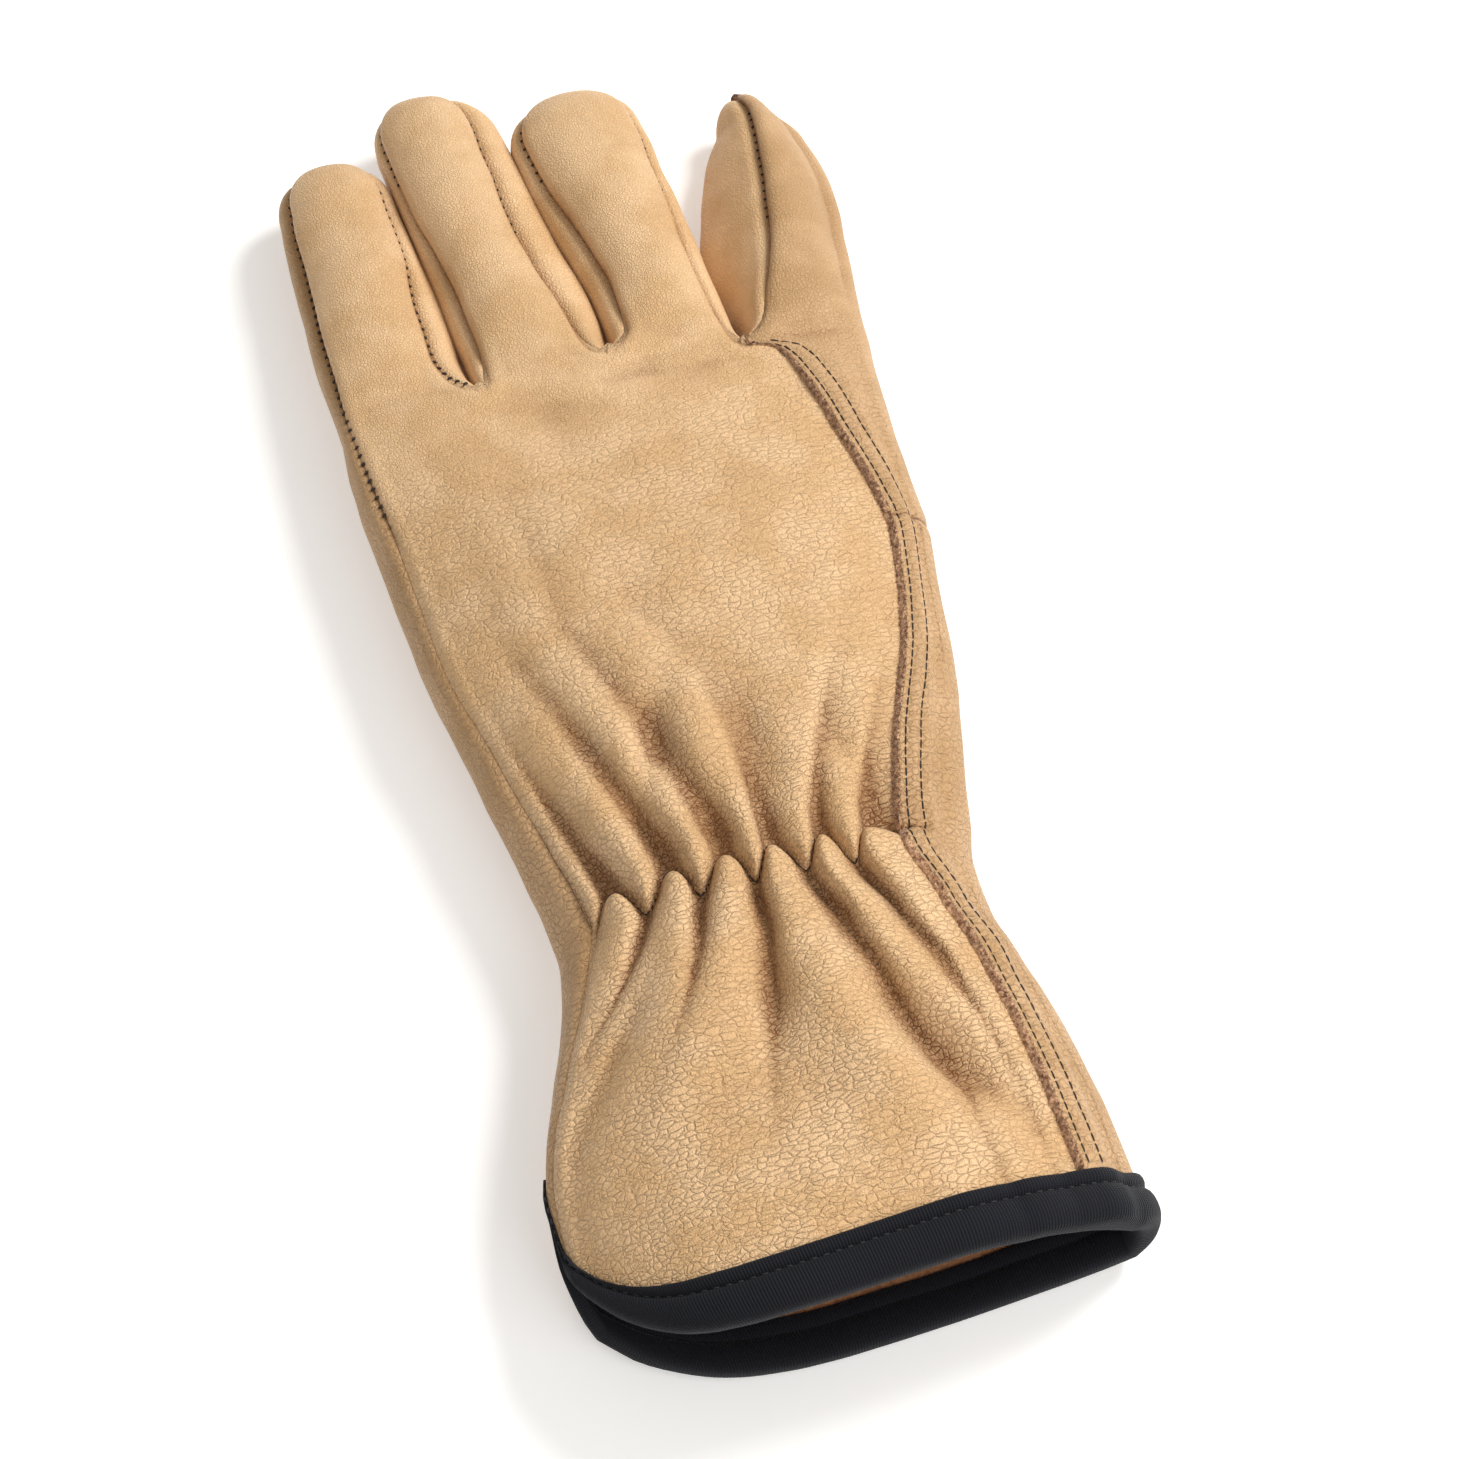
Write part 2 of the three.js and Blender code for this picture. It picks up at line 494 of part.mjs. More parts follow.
addGrid(bodyGrids[3], () => "palm_panel");

// A finger's section at a share of its length, closing round at the tip.
function fingerSection(finger, at, turn) {
  const row = finger.curves(at);
  const middle = finger.middle * HALF_WIDTH;
  const w = finger.width;
  const h = FINGER_HEIGHT;
  const narrow = turn === null ? 1 : Math.cos(turn) ** 0.85;
  const low = turn === null ? 1 : Math.cos(turn) ** 0.8;
  const tipX = middle + finger.tipX * w;
  const tipZ = finger.tipZ * h;
  const x = (share) => mix(tipX, middle + share * w, narrow);
  const z = (share) => mix(tipZ, share * h, low);
  return {
    left: x(row.left),
    right: x(row.right),
    heelL: x(row.heelL),
    heelR: x(row.heelR),
    leftZ: z(row.leftZ),
    rightZ: z(row.rightZ),
    heelZL: z(row.heelZL),
    heelZR: z(row.heelZR),
    crown: row.crown * h * low,
    flat: 2.4,
    arch: row.arch * h * low,
    bulgeL: row.bulgeL * w * low,
    bulgeR: row.bulgeR * w * low,
  };
}

const rootTop = {};
const rootBottom = {};
let topAt = 0;
for (const name of FINGER_NAMES) {
  rootTop[name] = [topAt, topAt + COLUMNS[name].top];
  topAt += COLUMNS[name].top;
}
let bottomAt = 0;
for (const name of [...FINGER_NAMES].reverse()) {
  rootBottom[name] = [bottomAt, bottomAt + COLUMNS[name].bottom];
  bottomAt += COLUMNS[name].bottom;
}

// The root loop of a finger: the body's last row, and the upright line at each crotch.
function rootPoint(name, side, i) {
  const [t0, t1] = rootTop[name];
  const [b0, b1] = rootBottom[name];
  const at = (grid, n) => points[bodyGrids[grid][lastRow][n]];
  if (side === 0) return at(0, t0 + i);
  if (side === 2) return at(2, b0 + i);
  if (side === 1) {
    if (name === "index") return at(1, i);
    return at(0, t1).clone().lerp(at(2, b0), i / WALL_COLUMNS);
  }
  if (name === "pinky") return at(3, i);
  return at(2, b1).clone().lerp(at(0, t0), i / WALL_COLUMNS);
}

const rootLine = new Set();
const tips = new Set();
const WALL_PIECES = {
  pinky: { left: "palm_panel", right: "fourchette_pinky_ring" },
  ring: { left: "fourchette_pinky_ring", right: "fourchette_ring_middle" },
  middle: { left: "fourchette_ring_middle", right: "fourchette_middle_index" },
  index: { left: "fourchette_middle_index", right: "index_wrap" },
};
for (const name of FINGER_NAMES) {
  const finger = { ...FINGERS[name], curves: curvesOf(FINGERS[name].rows, "at") };
  const tipStart = 1 - TIP_LENGTH / finger.length;
  const rows = [
    ...FINGER_ROWS.map((share) => ({ at: share * tipStart * 1.2, turn: null })),
    ...TIP_TURNS.map((degrees) => {
      const turn = THREE.MathUtils.degToRad(degrees);
      return { at: mix(tipStart, 1, Math.sin(turn)), turn };
    }),
  ].filter((row) => row.turn !== null || row.at < tipStart - 0.03);
  const counts = [COLUMNS[name].top, WALL_COLUMNS, COLUMNS[name].bottom, WALL_COLUMNS];
  const grids = counts.map((count, side) => {
    const root = Array.from({ length: count + 1 }, (_, i) => rootPoint(name, side, i));
    const base = fingerSection(finger, 0, null);
    const grid = [root.map((p) => pointIndex([p.x, p.y, p.z]))];
    for (const row of rows) {
      const s = fingerSection(finger, row.at, row.turn);
      const keep = 1 - smooth(row.at / BLEND_SHARE);
      grid.push(
        root.map((p, i) => {
          const [baseX, baseZ] = sectionPoint(base, side, i / count);
          const [x, z] = sectionPoint(s, side, i / count);
          const tipY = rootTipY(name);
          const y = mix(p.y, tipY, row.at);
          return pointIndex([x + (p.x - baseX) * keep, y, z + (p.z - baseZ) * keep]);
        }),
      );
    }
    return grid;
  });
  if (name !== "index") grids[1][0].forEach((index) => rootLine.add(index));
  tips.add(grids[0][rows.length][0]);
  const skin = name === "index" ? "index_wrap" : "back_panel";
  addGrid(grids[0], () => skin);
  addGrid(grids[1], () => WALL_PIECES[name].right);
  addGrid(grids[2], () => (name === "index" ? "index_wrap" : "palm_panel"));
  addGrid(grids[3], () => WALL_PIECES[name].left);
}

// A fingertip's Y: its length on from the middle of its root.
function rootTipY(name) {
  const [t0, t1] = rootTop[name];
  const row = bodyGrids[0][lastRow];
  const root = name === "index" ? points[row[t0]].y : Math.max(points[row[t0]].y, points[row[t1]].y);
  const seam = name === "pinky" ? points[row[t1]].y : root;
  return seam + FINGERS[name].length;
}

// The thumb: rings from the palm's hole, turned under the palm and on towards the fingers.
const hole = THUMB_HOLE;
const holeLoop = [];
for (let i = hole.lastColumn; i > hole.firstColumn; i -= 1) holeLoop.push([i, hole.lastRow]);
for (let j = hole.lastRow; j > hole.firstRow; j -= 1) holeLoop.push([hole.firstColumn, j]);
for (let i = hole.firstColumn; i < hole.lastColumn; i += 1) holeLoop.push([i, hole.firstRow]);
for (let j = hole.firstRow; j < hole.lastRow; j += 1) holeLoop.push([hole.lastColumn, j]);
const holePoints = holeLoop.map(([i, j]) => points[bodyGrids[2][j][i]]);
const holeCenterX = holePoints.reduce((sum, p) => sum + p.x, 0) / holePoints.length;
const holeFrontY = Math.min(
  ...holeLoop.flatMap(([, j], n) => (j === hole.lastRow ? [holePoints[n].y] : [])),
);
const thumbRings = [holePoints.map((p) => pointIndex([p.x, p.y, p.z]))];
for (const ring of THUMB_RINGS) {
  thumbRings.push(
    holePoints.map((p, n) => {
      const [i, j] = holeLoop[n];
      const across = 1 - (i - hole.firstColumn) / (hole.lastColumn - hole.firstColumn);
      const down = 1 - (j - hole.firstRow) / (hole.lastRow - hole.firstRow);
      const angle = Math.atan2(down - 0.5, across - 0.5);
      const u = mix(across, 0.5 + 0.5 * Math.cos(angle), ring.oval);
      const v = mix(down, 0.5 + 0.5 * Math.sin(angle), ring.oval);
      const x = holeCenterX + (ring.shift + (u - 0.5) * ring.wide) * THUMB_WIDTH;
      const y = holeFrontY + mix(ring.frontY, ring.backY, v) * THUMB_LENGTH;
      const z = Math.max(FLOOR, mix(ring.frontZ, ring.backZ, v) * THUMB_HEIGHT);
      const keep = ring.from;
      return pointIndex([mix(x, p.x, keep), mix(y, p.y, keep), mix(z, p.z, keep)]);
    }),
  );
}
addGrid(
  thumbRings.map((ring) => [...ring, ring[0]]),
  () => "thumb",
);

// Shared normals, so that neighbouring pieces turn their edges the same way.
const normals = points.map(() => new THREE.Vector3());
for (const face of faces) {
  const c = face.corners.map((i) => points[i]);
  const n = new THREE.Vector3();
  for (let i = 1; i + 1 < c.length; i += 1) {
    n.add(c[i].clone().sub(c[0]).cross(c[i + 1].clone().sub(c[0])));
  }
  face.normal = n.clone().normalize();
  face.corners.forEach((i) => normals[i].add(n));
}
normals.forEach((n) => n.normalize());

// Side pieces ride over the back's lap by a leather and a gap, and come down past it.
const lift = new Map();
bodyGrids[0].forEach((row, j) => {
  const keep = 1 - smooth((j - (lastRow - 3)) / 3);
  row.forEach((index, i) => {
    const past = i - lapColumn;
    if (past < 0) return;
    const share = past <= LAP_COLUMNS ? 1 : past === LAP_COLUMNS + 1 ? 0.45 : 0;
    if (share * keep > 0) lift.set(index, share * keep * (LEATHER + SEAM_GAP));
  });
});
const lapFaces = faces.filter((face) =>
  face.corners.every((index) =>
    bodyGrids[0].some(
      (row, j) => j < lastRow - 2 && row.slice(lapColumn, lapColumn + LAP_COLUMNS + 1).includes(index),
    ),
  ),
);

// The tight turns at the finger roots, where the seams keep a little more apart.
const crotch = new Set();
for (const face of faces) {
  const tight = (i) => rootLine.has(i) || tips.has(i);
  const near = face.piece.startsWith("fourchette") && face.corners.some(tight);
  if (near) face.corners.forEach((i) => crotch.add(i));
}

// A closed wall of leather from a set of faces: outer skin, inner skin and the cut edge.
function leatherGeometry(pieceFaces, liftOf, trim) {
  const edges = new Map();
  for (const face of pieceFaces) {
    face.corners.forEach((a, n) => {
      const b = face.corners[(n + 1) % face.corners.length];
      edges.set(a + ">" + b, { a, b, normal: face.normal });
    });
  }
  const rim = [...edges.values()].filter((e) => !edges.has(e.b + ">" + e.a));
  const inset = new Map();
  for (const e of rim) {
    const along = points[e.b].clone().sub(points[e.a]);
    const inward = e.normal.clone().cross(along).normalize();
    for (const i of [e.a, e.b]) {
      if (!inset.has(i)) inset.set(i, []);
      inset.get(i).push(inward);
    }
  }
  const moved = new Map();
  for (const [i, list] of inset) {
    const sum = list.reduce((total, v) => total.add(v), new THREE.Vector3());
    const scale = list.length / Math.max(sum.lengthSq(), 0.35 * list.length);
    moved.set(i, sum.multiplyScalar(scale * trim(i)));
  }
  const used = [...new Set(pieceFaces.flatMap((face) => face.corners))];
  const slot = new Map(used.map((index, n) => [index, n]));
  const position = [];
  for (const depth of [0, LEATHER]) {
    for (const index of used) {
      const p = points[index].clone();
      if (moved.has(index)) p.add(moved.get(index));
      p.addScaledVector(normals[index], liftOf(index) - depth);
      position.push(p.x, p.y, p.z);
    }
  }
  const n = used.length;
  const triangles = [];
  for (const face of pieceFaces) {
    const c = face.corners.map((index) => slot.get(index));
    for (let i = 1; i + 1 < c.length; i += 1) {
      triangles.push(c[0], c[i], c[i + 1], c[0] + n, c[i + 1] + n, c[i] + n);
    }
  }
  for (const e of rim) {
    const a = slot.get(e.a);
    const b = slot.get(e.b);
    triangles.push(b, a, a + n, b, a + n, b + n);
  }
  return geometryOf(position, triangles);
}

function geometryOf(position, triangles) {
  const geometry = new THREE.BufferGeometry();
  geometry.setAttribute("position", new THREE.Float32BufferAttribute(position, 3));
  geometry.setIndex(triangles);
  geometry.computeVertexNormals();
  return geometry;
}

// The binding: a folded cloth over the rim, outside and inside.
const loopAt = (j) =>
  bodyGrids.flatMap((grid) => grid[j].slice(0, -1)).map((index) => ({
    p: points[index],
    n: normals[index],
    lift: lift.get(index) || 0,
  }));
function bindingGeometry() {
  const [rim, half, full] = [0, 1, 2].map(loopAt);
  const inner = -LEATHER - BINDING_GAP;
  const outside = (loop, n, extra) =>
    loop[n].p.clone().addScaledVector(loop[n].n, loop[n].lift + BINDING_GAP + extra);
  const inside = (loop, n, extra) => loop[n].p.clone().addScaledVector(loop[n].n, inner - extra);
  const rings = rim.map((_, n) => {
    const out = rim[n].p.clone().sub(half[n].p).normalize();
    const fold = outside(rim, n, BINDING_CLOTH + BINDING_ROLL * 0.5);
    const turn = outside(rim, n, BINDING_CLOTH * 0.6).addScaledVector(out, BINDING_CLOTH + BINDING_ROLL);
    const under = inside(rim, n, BINDING_CLOTH * 0.6).addScaledVector(out, BINDING_CLOTH + BINDING_ROLL);
    return [
      outside(full, n, 0),
      outside(full, n, BINDING_CLOTH * 0.6),
      outside(half, n, BINDING_CLOTH),
      fold,
      turn,
      under,
      inside(rim, n, BINDING_CLOTH),
      inside(full, n, BINDING_CLOTH * 0.6),
      inside(full, n, 0),
      inside(rim, n, 0).addScaledVector(out, BINDING_GAP),
      outside(rim, n, 0).addScaledVector(out, BINDING_GAP),
    ];
  });
  const position = rings.flatMap((ring) => ring.flatMap((p) => [p.x, p.y, p.z]));
  const triangles = [];
  const size = rings[0].length;
  rings.forEach((_, k) => {
    const next = (k + 1) % rings.length;
    for (let i = 0; i < size; i += 1) {
      const a = k * size + i;
      const b = k * size + ((i + 1) % size);
      const c = next * size + ((i + 1) % size);
      const d = next * size + i;
      triangles.push(a, b, c, a, c, d);
    }
  });
  return geometryOf(position, triangles);
}

const glove = new THREE.Group();
const placed = new THREE.Group();
placed.position.set(-ORIGIN_X, -ORIGIN_Y, 0);
glove.add(placed);
function addPiece(name, geometry, look) {
  const mesh = new THREE.Mesh(geometry, new THREE.MeshStandardMaterial(look));
  mesh.name = name;
  placed.add(mesh);
}
const lapRows = new Set(lapFaces.flatMap((face) => face.corners));
for (const [name, color] of Object.entries(LEATHERS)) {
  const own = faces.filter((face) => face.piece === name);
  const isBack = name === "back_panel";
  const pieceFaces = isBack ? [...own, ...lapFaces] : own;
  const liftOf = (index) => (isBack || name.startsWith("fourchette") ? 0 : lift.get(index) || 0);
  const trim = (index) => (isBack && lapRows.has(index) ? 2 : crotch.has(index) ? 2 : 1) * SEAM_GAP * 0.5;
  addPiece(name, leatherGeometry(pieceFaces, liftOf, trim), { ...LEATHER_LOOK, color });
}
addPiece("cuff_binding", bindingGeometry(), BINDING_LOOK);

export default glove;
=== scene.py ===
# The looks of a leather gardening glove for the left hand, lying on its palm.
# Sizes are millimetres in the coordinates of the solids; a mesh is turned into metres when it is made.
import math

import bpy
import numpy as np
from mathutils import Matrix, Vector, kdtree


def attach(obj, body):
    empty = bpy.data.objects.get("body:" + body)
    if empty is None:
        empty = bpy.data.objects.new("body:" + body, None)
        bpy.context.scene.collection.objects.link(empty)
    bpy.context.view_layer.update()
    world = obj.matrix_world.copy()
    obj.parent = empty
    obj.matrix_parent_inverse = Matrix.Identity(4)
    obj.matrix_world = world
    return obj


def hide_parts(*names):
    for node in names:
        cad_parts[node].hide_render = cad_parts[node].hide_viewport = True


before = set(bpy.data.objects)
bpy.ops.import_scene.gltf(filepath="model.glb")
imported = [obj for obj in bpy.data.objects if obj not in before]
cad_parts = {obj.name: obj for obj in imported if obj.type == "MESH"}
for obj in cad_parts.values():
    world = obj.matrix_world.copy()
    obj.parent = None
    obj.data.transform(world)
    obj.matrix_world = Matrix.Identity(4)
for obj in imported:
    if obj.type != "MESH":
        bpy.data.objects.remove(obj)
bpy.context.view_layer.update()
MM = 0.001
# From the middle of the wrist, where the tables start, to the middle of the solids
SHIFT = np.array([3.2, -58.2, 0.0])

# Camera at the photograph's angle
AZIMUTH, ELEVATION, DISTANCE, LENS = -19.0, 60.0, 1000.0, 120.0
AIM = (3.2, -20.7, 15.0)

# Hand and cuff
HAND_WIDTH, HAND_LENGTH, CUFF_LENGTH, GLOVE_HEIGHT = 110.0, 128.5, 93.5, 36.0
HALF_WIDTH = HAND_WIDTH / 2

# Fingers and thumb
PINKY_LENGTH, RING_LENGTH, MIDDLE_LENGTH, INDEX_LENGTH = 73.0, 84.0, 75.0, 70.0
PINKY_WIDTH, RING_WIDTH, MIDDLE_WIDTH, INDEX_WIDTH = 23.0, 21.0, 22.0, 28.0
FINGER_HEIGHT, TIP_LENGTH = 22.0, 12.0
THUMB_LENGTH, THUMB_WIDTH, THUMB_HEIGHT = 62.0, 30.0, 10.6

# Leather, seams and the wrist gathers
LEATHER, SEAM_GAP, LAP_SHARE = 1.3, 0.3, 0.55
PLEAT_DEPTH, PLEAT_ZIGZAG, PLEAT_GROOVE = 2.3, 3.7, 1.6
PLEAT_TILT, STRAIGHT_PLEAT = 6.0, 6.0
PUFF_GAIN, PUFF_START, GROOVE_HALF = 1.8, 1.7, 1.5
HAND_ROUND, CUFF_ROUND, LINE_ROUND = 0.85, 0.5, 0.72

# Binding of the cuff
BINDING_WIDTH, BINDING_GAP = 10.0, 0.6

# Fineness of the meshes: the length of a cell along the glove, and cells to each column of the tables
CELL = 0.83
FINE_TOP, FINE_WALL, FINE_BOTTOM, FINE_THUMB = 5, 6, 5, 5

# Seams: how deep and wide their groove is, and the swell of the leather beside it
SEAM_DEPTH, SEAM_HALF, SEAM_SWELL, SEAM_TRIM = 0.75, 0.8, 0.22, 0.06
SOFT_DEPTH, SOFT_HALF, SOFTENING = 0.4, 1.4, 15.0
CROSS_DEPTH, CROSS_SWELL = 0.35, 0.1
SWELL_AT, SWELL_HALF = 2.6, 1.3
PUCKER_LEFT, PUCKER, PUCKER_HALF = 0.4, 0.12, 1.3
STITCH_PITCH, STITCH_STEPS = 2.45, 7
CROTCH_FILL, CROTCH_REACH = 1.25, 9.0
STITCHED_DOWN_TO = 107.0
LAP_STITCHES, LAP_PITCH, BINDING_PITCH = (1.5, 4.9), 2.3, 2.4
LAP_GROOVE, LAP_GROOVE_HALF, LAP_SWELL = 0.3, 0.55, 0.25
FLOOR_GAP = 0.02

# Painted shade in hollows and fold valleys, and darker seam lines: the depths that count in full, and how
# much each kind darkens
NEAR_HOLLOW, WIDE_HOLLOW = 0.35, 1.3
HOLLOW_SHADE, SEAM_DARK, VALLEY_SHADE, STRIP_SHADE = 0.55, 0.3, 1.35, 0.4

# Grain of the leather: cells or spots to a metre, how deep each layer is pressed and how dark it is
PEBBLE_SCALE, FOLD_SCALE, SMALL_SCALE = 860.0, 420.0, 1500.0
PORE_SCALE, FIBRE_SCALE, PATCH_SCALE = 3600.0, 2400.0, 70.0
PEBBLE_DEPTH, DOME_DEPTH, FOLD_DEPTH, SMALL_DEPTH = 0.62, 0.3, 0.4, 0.34
PORE_DEPTH, FIBRE_HEIGHT, GRAIN_DEPTH = 0.14, 0.16, 0.00034
PEBBLE_DARK, FOLD_DARK, SMALL_DARK, PORE_DARK = 0.24, 0.07, 0.12, 0.06
# share of the coarseness, where along the glove it ends and over what length
COARSE = ((0.75, 142.0, 50.0), (0.25, 50.0, 60.0))
# Knit of the binding, in metres like the cloth map
RIB_PITCH, LOOP_PITCH = 0.00062, 0.0005


def curve(xs, ys):
    """A curve through points that never swings past them."""
    xs, ys = np.asarray(xs, float), np.asarray(ys, float)
    h = np.diff(xs)
    step = np.diff(ys) / h
    slope = np.concatenate([step[:1], np.zeros(len(xs) - 2), step[-1:]])
    a, b = step[:-1], step[1:]
    alike = a * b > 0
    slope[1:-1] = np.where(alike, 2 * a * b / np.where(alike, a + b, 1), 0)

    def at(x):
        x = np.clip(x, xs[0], xs[-1])
        i = np.clip(np.searchsorted(xs, x, side="left") - 1, 0, len(xs) - 2)
        t = (x - xs[i]) / h[i]
        low = ys[i] * (1 + 2 * t) * (1 - t) ** 2 + slope[i] * h[i] * t * (1 - t) ** 2
        return low + ys[i + 1] * t * t * (3 - 2 * t) + slope[i + 1] * h[i] * t * t * (t - 1)

    return at


def table(columns, text):
    """Named columns from rows of numbers, with a comma between rows that share a line."""
    names = columns.split()
    return dict(zip(names, np.array(text.replace(",", " ").split(), float).reshape(-1, len(names)).T))


def curves(tab, key):
    parts = {name: curve(tab[key], tab[name]) for name in tab if name != key}
    return lambda at: {name: part(at) for name, part in parts.items()}


def mix(a, b, t):
    return a + (b - a) * t


def smooth(t):
    t = np.clip(t, 0, 1)
    return t * t * (3 - 2 * t)


def unit(v):
    return v / np.maximum(np.linalg.norm(v, axis=-1, keepdims=True), 1e-9)


def bump(d, half):
    return np.exp(-((d / half) ** 2))


# Sections of cuff and hand at shares of their length, in half widths of the hand and heights of the glove
BODY = table("at seam edge lap seamZ edgeZ crown flat rollL rollR heelL heelR heelZL heelZR arch", """
    -1 -1.2 0.664 0.915 0.47 0.61 0.42 3.4 0.04 0.064 -1.17 0.67 0.17 0.14 -0.088
    -0.72 -1.264 0.673 0.915 0.5 0.64 0.44 3.2 0.04 0.064 -1.22 0.69 0.17 0.14 -0.098
    -0.56 -1.236 0.651 0.92 0.56 0.66 0.41 3.1 0.045 0.064 -1.18 0.66 0.17 0.14 -0.12
    -0.44 -1.17 0.627 0.922 0.61 0.67 0.375 3 0.055 0.064 -1.12 0.636 0.17 0.14 -0.14
    -0.342 -1.075 0.61 0.918 0.65 0.67 0.34 2.9 0.065 0.064 -1.04 0.6 0.17 0.14 -0.13
    -0.21 -0.945 0.564 0.907 0.67 0.66 0.31 2.8 0.082 0.064 -0.918 0.582 0.17 0.15 -0.11
    -0.09 -0.845 0.564 0.862 0.66 0.65 0.28 2.6 0.112 0.064 -0.83 0.58 0.165 0.2 -0.05
    0 -0.79 0.6 0.85 0.64 0.64 0.26 2.6 0.128 0.064 -0.8 0.618 0.16 0.25 0.03
    0.074 -0.8 0.649 0.858 0.62 0.65 0.27 2.7 0.122 0.064 -0.8 0.664 0.15 0.29 0.08
    0.139 -0.824 0.7 0.868 0.61 0.67 0.28 2.8 0.109 0.062 -0.818 0.71 0.14 0.3 0.12
    0.245 -0.867 0.775 0.9 0.61 0.68 0.29 2.9 0.09 0.055 -0.86 0.78 0.14 0.3 0.15
    0.354 -0.91 0.84 0.925 0.61 0.68 0.29 3 0.078 0.05 -0.9 0.845 0.14 0.29 0.16
    0.51 -0.962 0.908 0.94 0.61 0.67 0.27 3.1 0.07 0.047 -0.94 0.912 0.14 0.28 0.153
    0.603 -0.967 0.932 0.926 0.61 0.65 0.25 3.2 0.075 0.045 -0.947 0.937 0.14 0.28 0.15
    0.712 -0.968 0.952 0.903 0.605 0.62 0.21 3.1 0.08 0.045 -0.95 0.955 0.145 0.25 0.12
    0.852 -0.98 0.985 0.868 0.59 0.57 0.165 3 0.075 0.047 -0.962 0.985 0.155 0.19 0.03
    0.92 -0.985 1.007 0.835 0.575 0.54 0.15 3 0.06 0.05 -0.967 1.005 0.16 0.17 -0.03
    0.946 -0.987 1.01 0.777 0.57 0.53 0.15 3 0.055 0.052 -0.97 1.008 0.165 0.165 -0.05
    1.02 -0.99 1.03 0.77 0.55 0.51 0.15 3 0.03 0.055 -0.973 1.02 0.17 0.165 -0.08
""")

# Where the rows of cells start, at the same kind of shares
BODY_ROWS = [
    -0.78, -0.66, -0.55, -0.45, -0.36, -0.28, -0.21, -0.15, -0.102, -0.063, -0.03, 0.002, 0.03, 0.06,
    0.095, 0.137, 0.187, 0.25, 0.33, 0.43, 0.53, 0.64, 0.74, 0.83, 0.9, 0.955, 1,
]

# How far the rim lies back, in cuff lengths, along each of the four sides (arc)
RIM_BACK = table("arc along back", """
    0 0 0.27, 0 0.02 0.205, 0 0.05 0.135, 0 0.09 0.08, 0 0.13 0.048, 0 0.18 0.026, 0 0.27 0.008, 0 0.4 0,
    0 1 -0.006, 1 0.5 0.012, 2 0 0.006, 2 0.58 0, 2 0.74 0.015, 2 0.82 0.035, 2 0.89 0.07, 2 0.95 0.115,
    3 0 0.18, 3 0.3 0.34, 3 0.6 0.49, 3 0.8 0.44, 3 1 0.27
""")

# The pleats' wave across the back, in turns
PLEATS = table("across phase", """
    0 -0.5, 0.095 0, 0.18 0.5, 0.275 1, 0.355 1.5, 0.44 2, 0.53 2.5, 0.585 3, 0.69 3.5, 0.745 4,
    0.84 4.5, 0.9 5, 1 5.2
""")

# How the puffs fan out from the gathered line, and how many millimetres they reach
FAN = table("across cuff hand cuffReach handReach", """
    0 -0.6 -0.2 12 14, 0.1 -0.5 -0.3 13 22, 0.32 -0.22 -0.42 17 27, 0.5 -0.09 -0.25 20 20,
    0.62 0.1 -0.05 24 14, 0.76 0.26 0.3 36 14, 0.9 0.24 0.35 28 13, 1 0.12 0.2 20 10
""")

# Dents and swellings: place and size in half widths and lengths, turn in degrees, height in glove heights
DENTS = table("across at wide long turn rise", """
    0.5 -0.34 0.08 0.1 6 -0.09
    0.83 -0.55 0.09 0.14 20 -0.2
    0.66 -0.42 0.11 0.16 10 0.05
    0.28 -0.38 0.12 0.16 -14 0.04
    0.12 -0.36 0.07 0.15 -20 -0.05
    0.42 -0.56 0.45 0.09 8 -0.04
    0.55 -0.82 0.5 0.09 0 0.03
    0.42 0.17 0.09 0.08 -12 0.04
    0.34 0.24 0.07 0.12 -24 -0.06
    0.6 0.2 0.07 0.1 10 -0.05
    0.84 0.15 0.07 0.1 22 -0.05
    0.42 0.93 0.15 0.09 -12 -0.045
    0.78 0.94 0.18 0.06 0 -0.045
""")

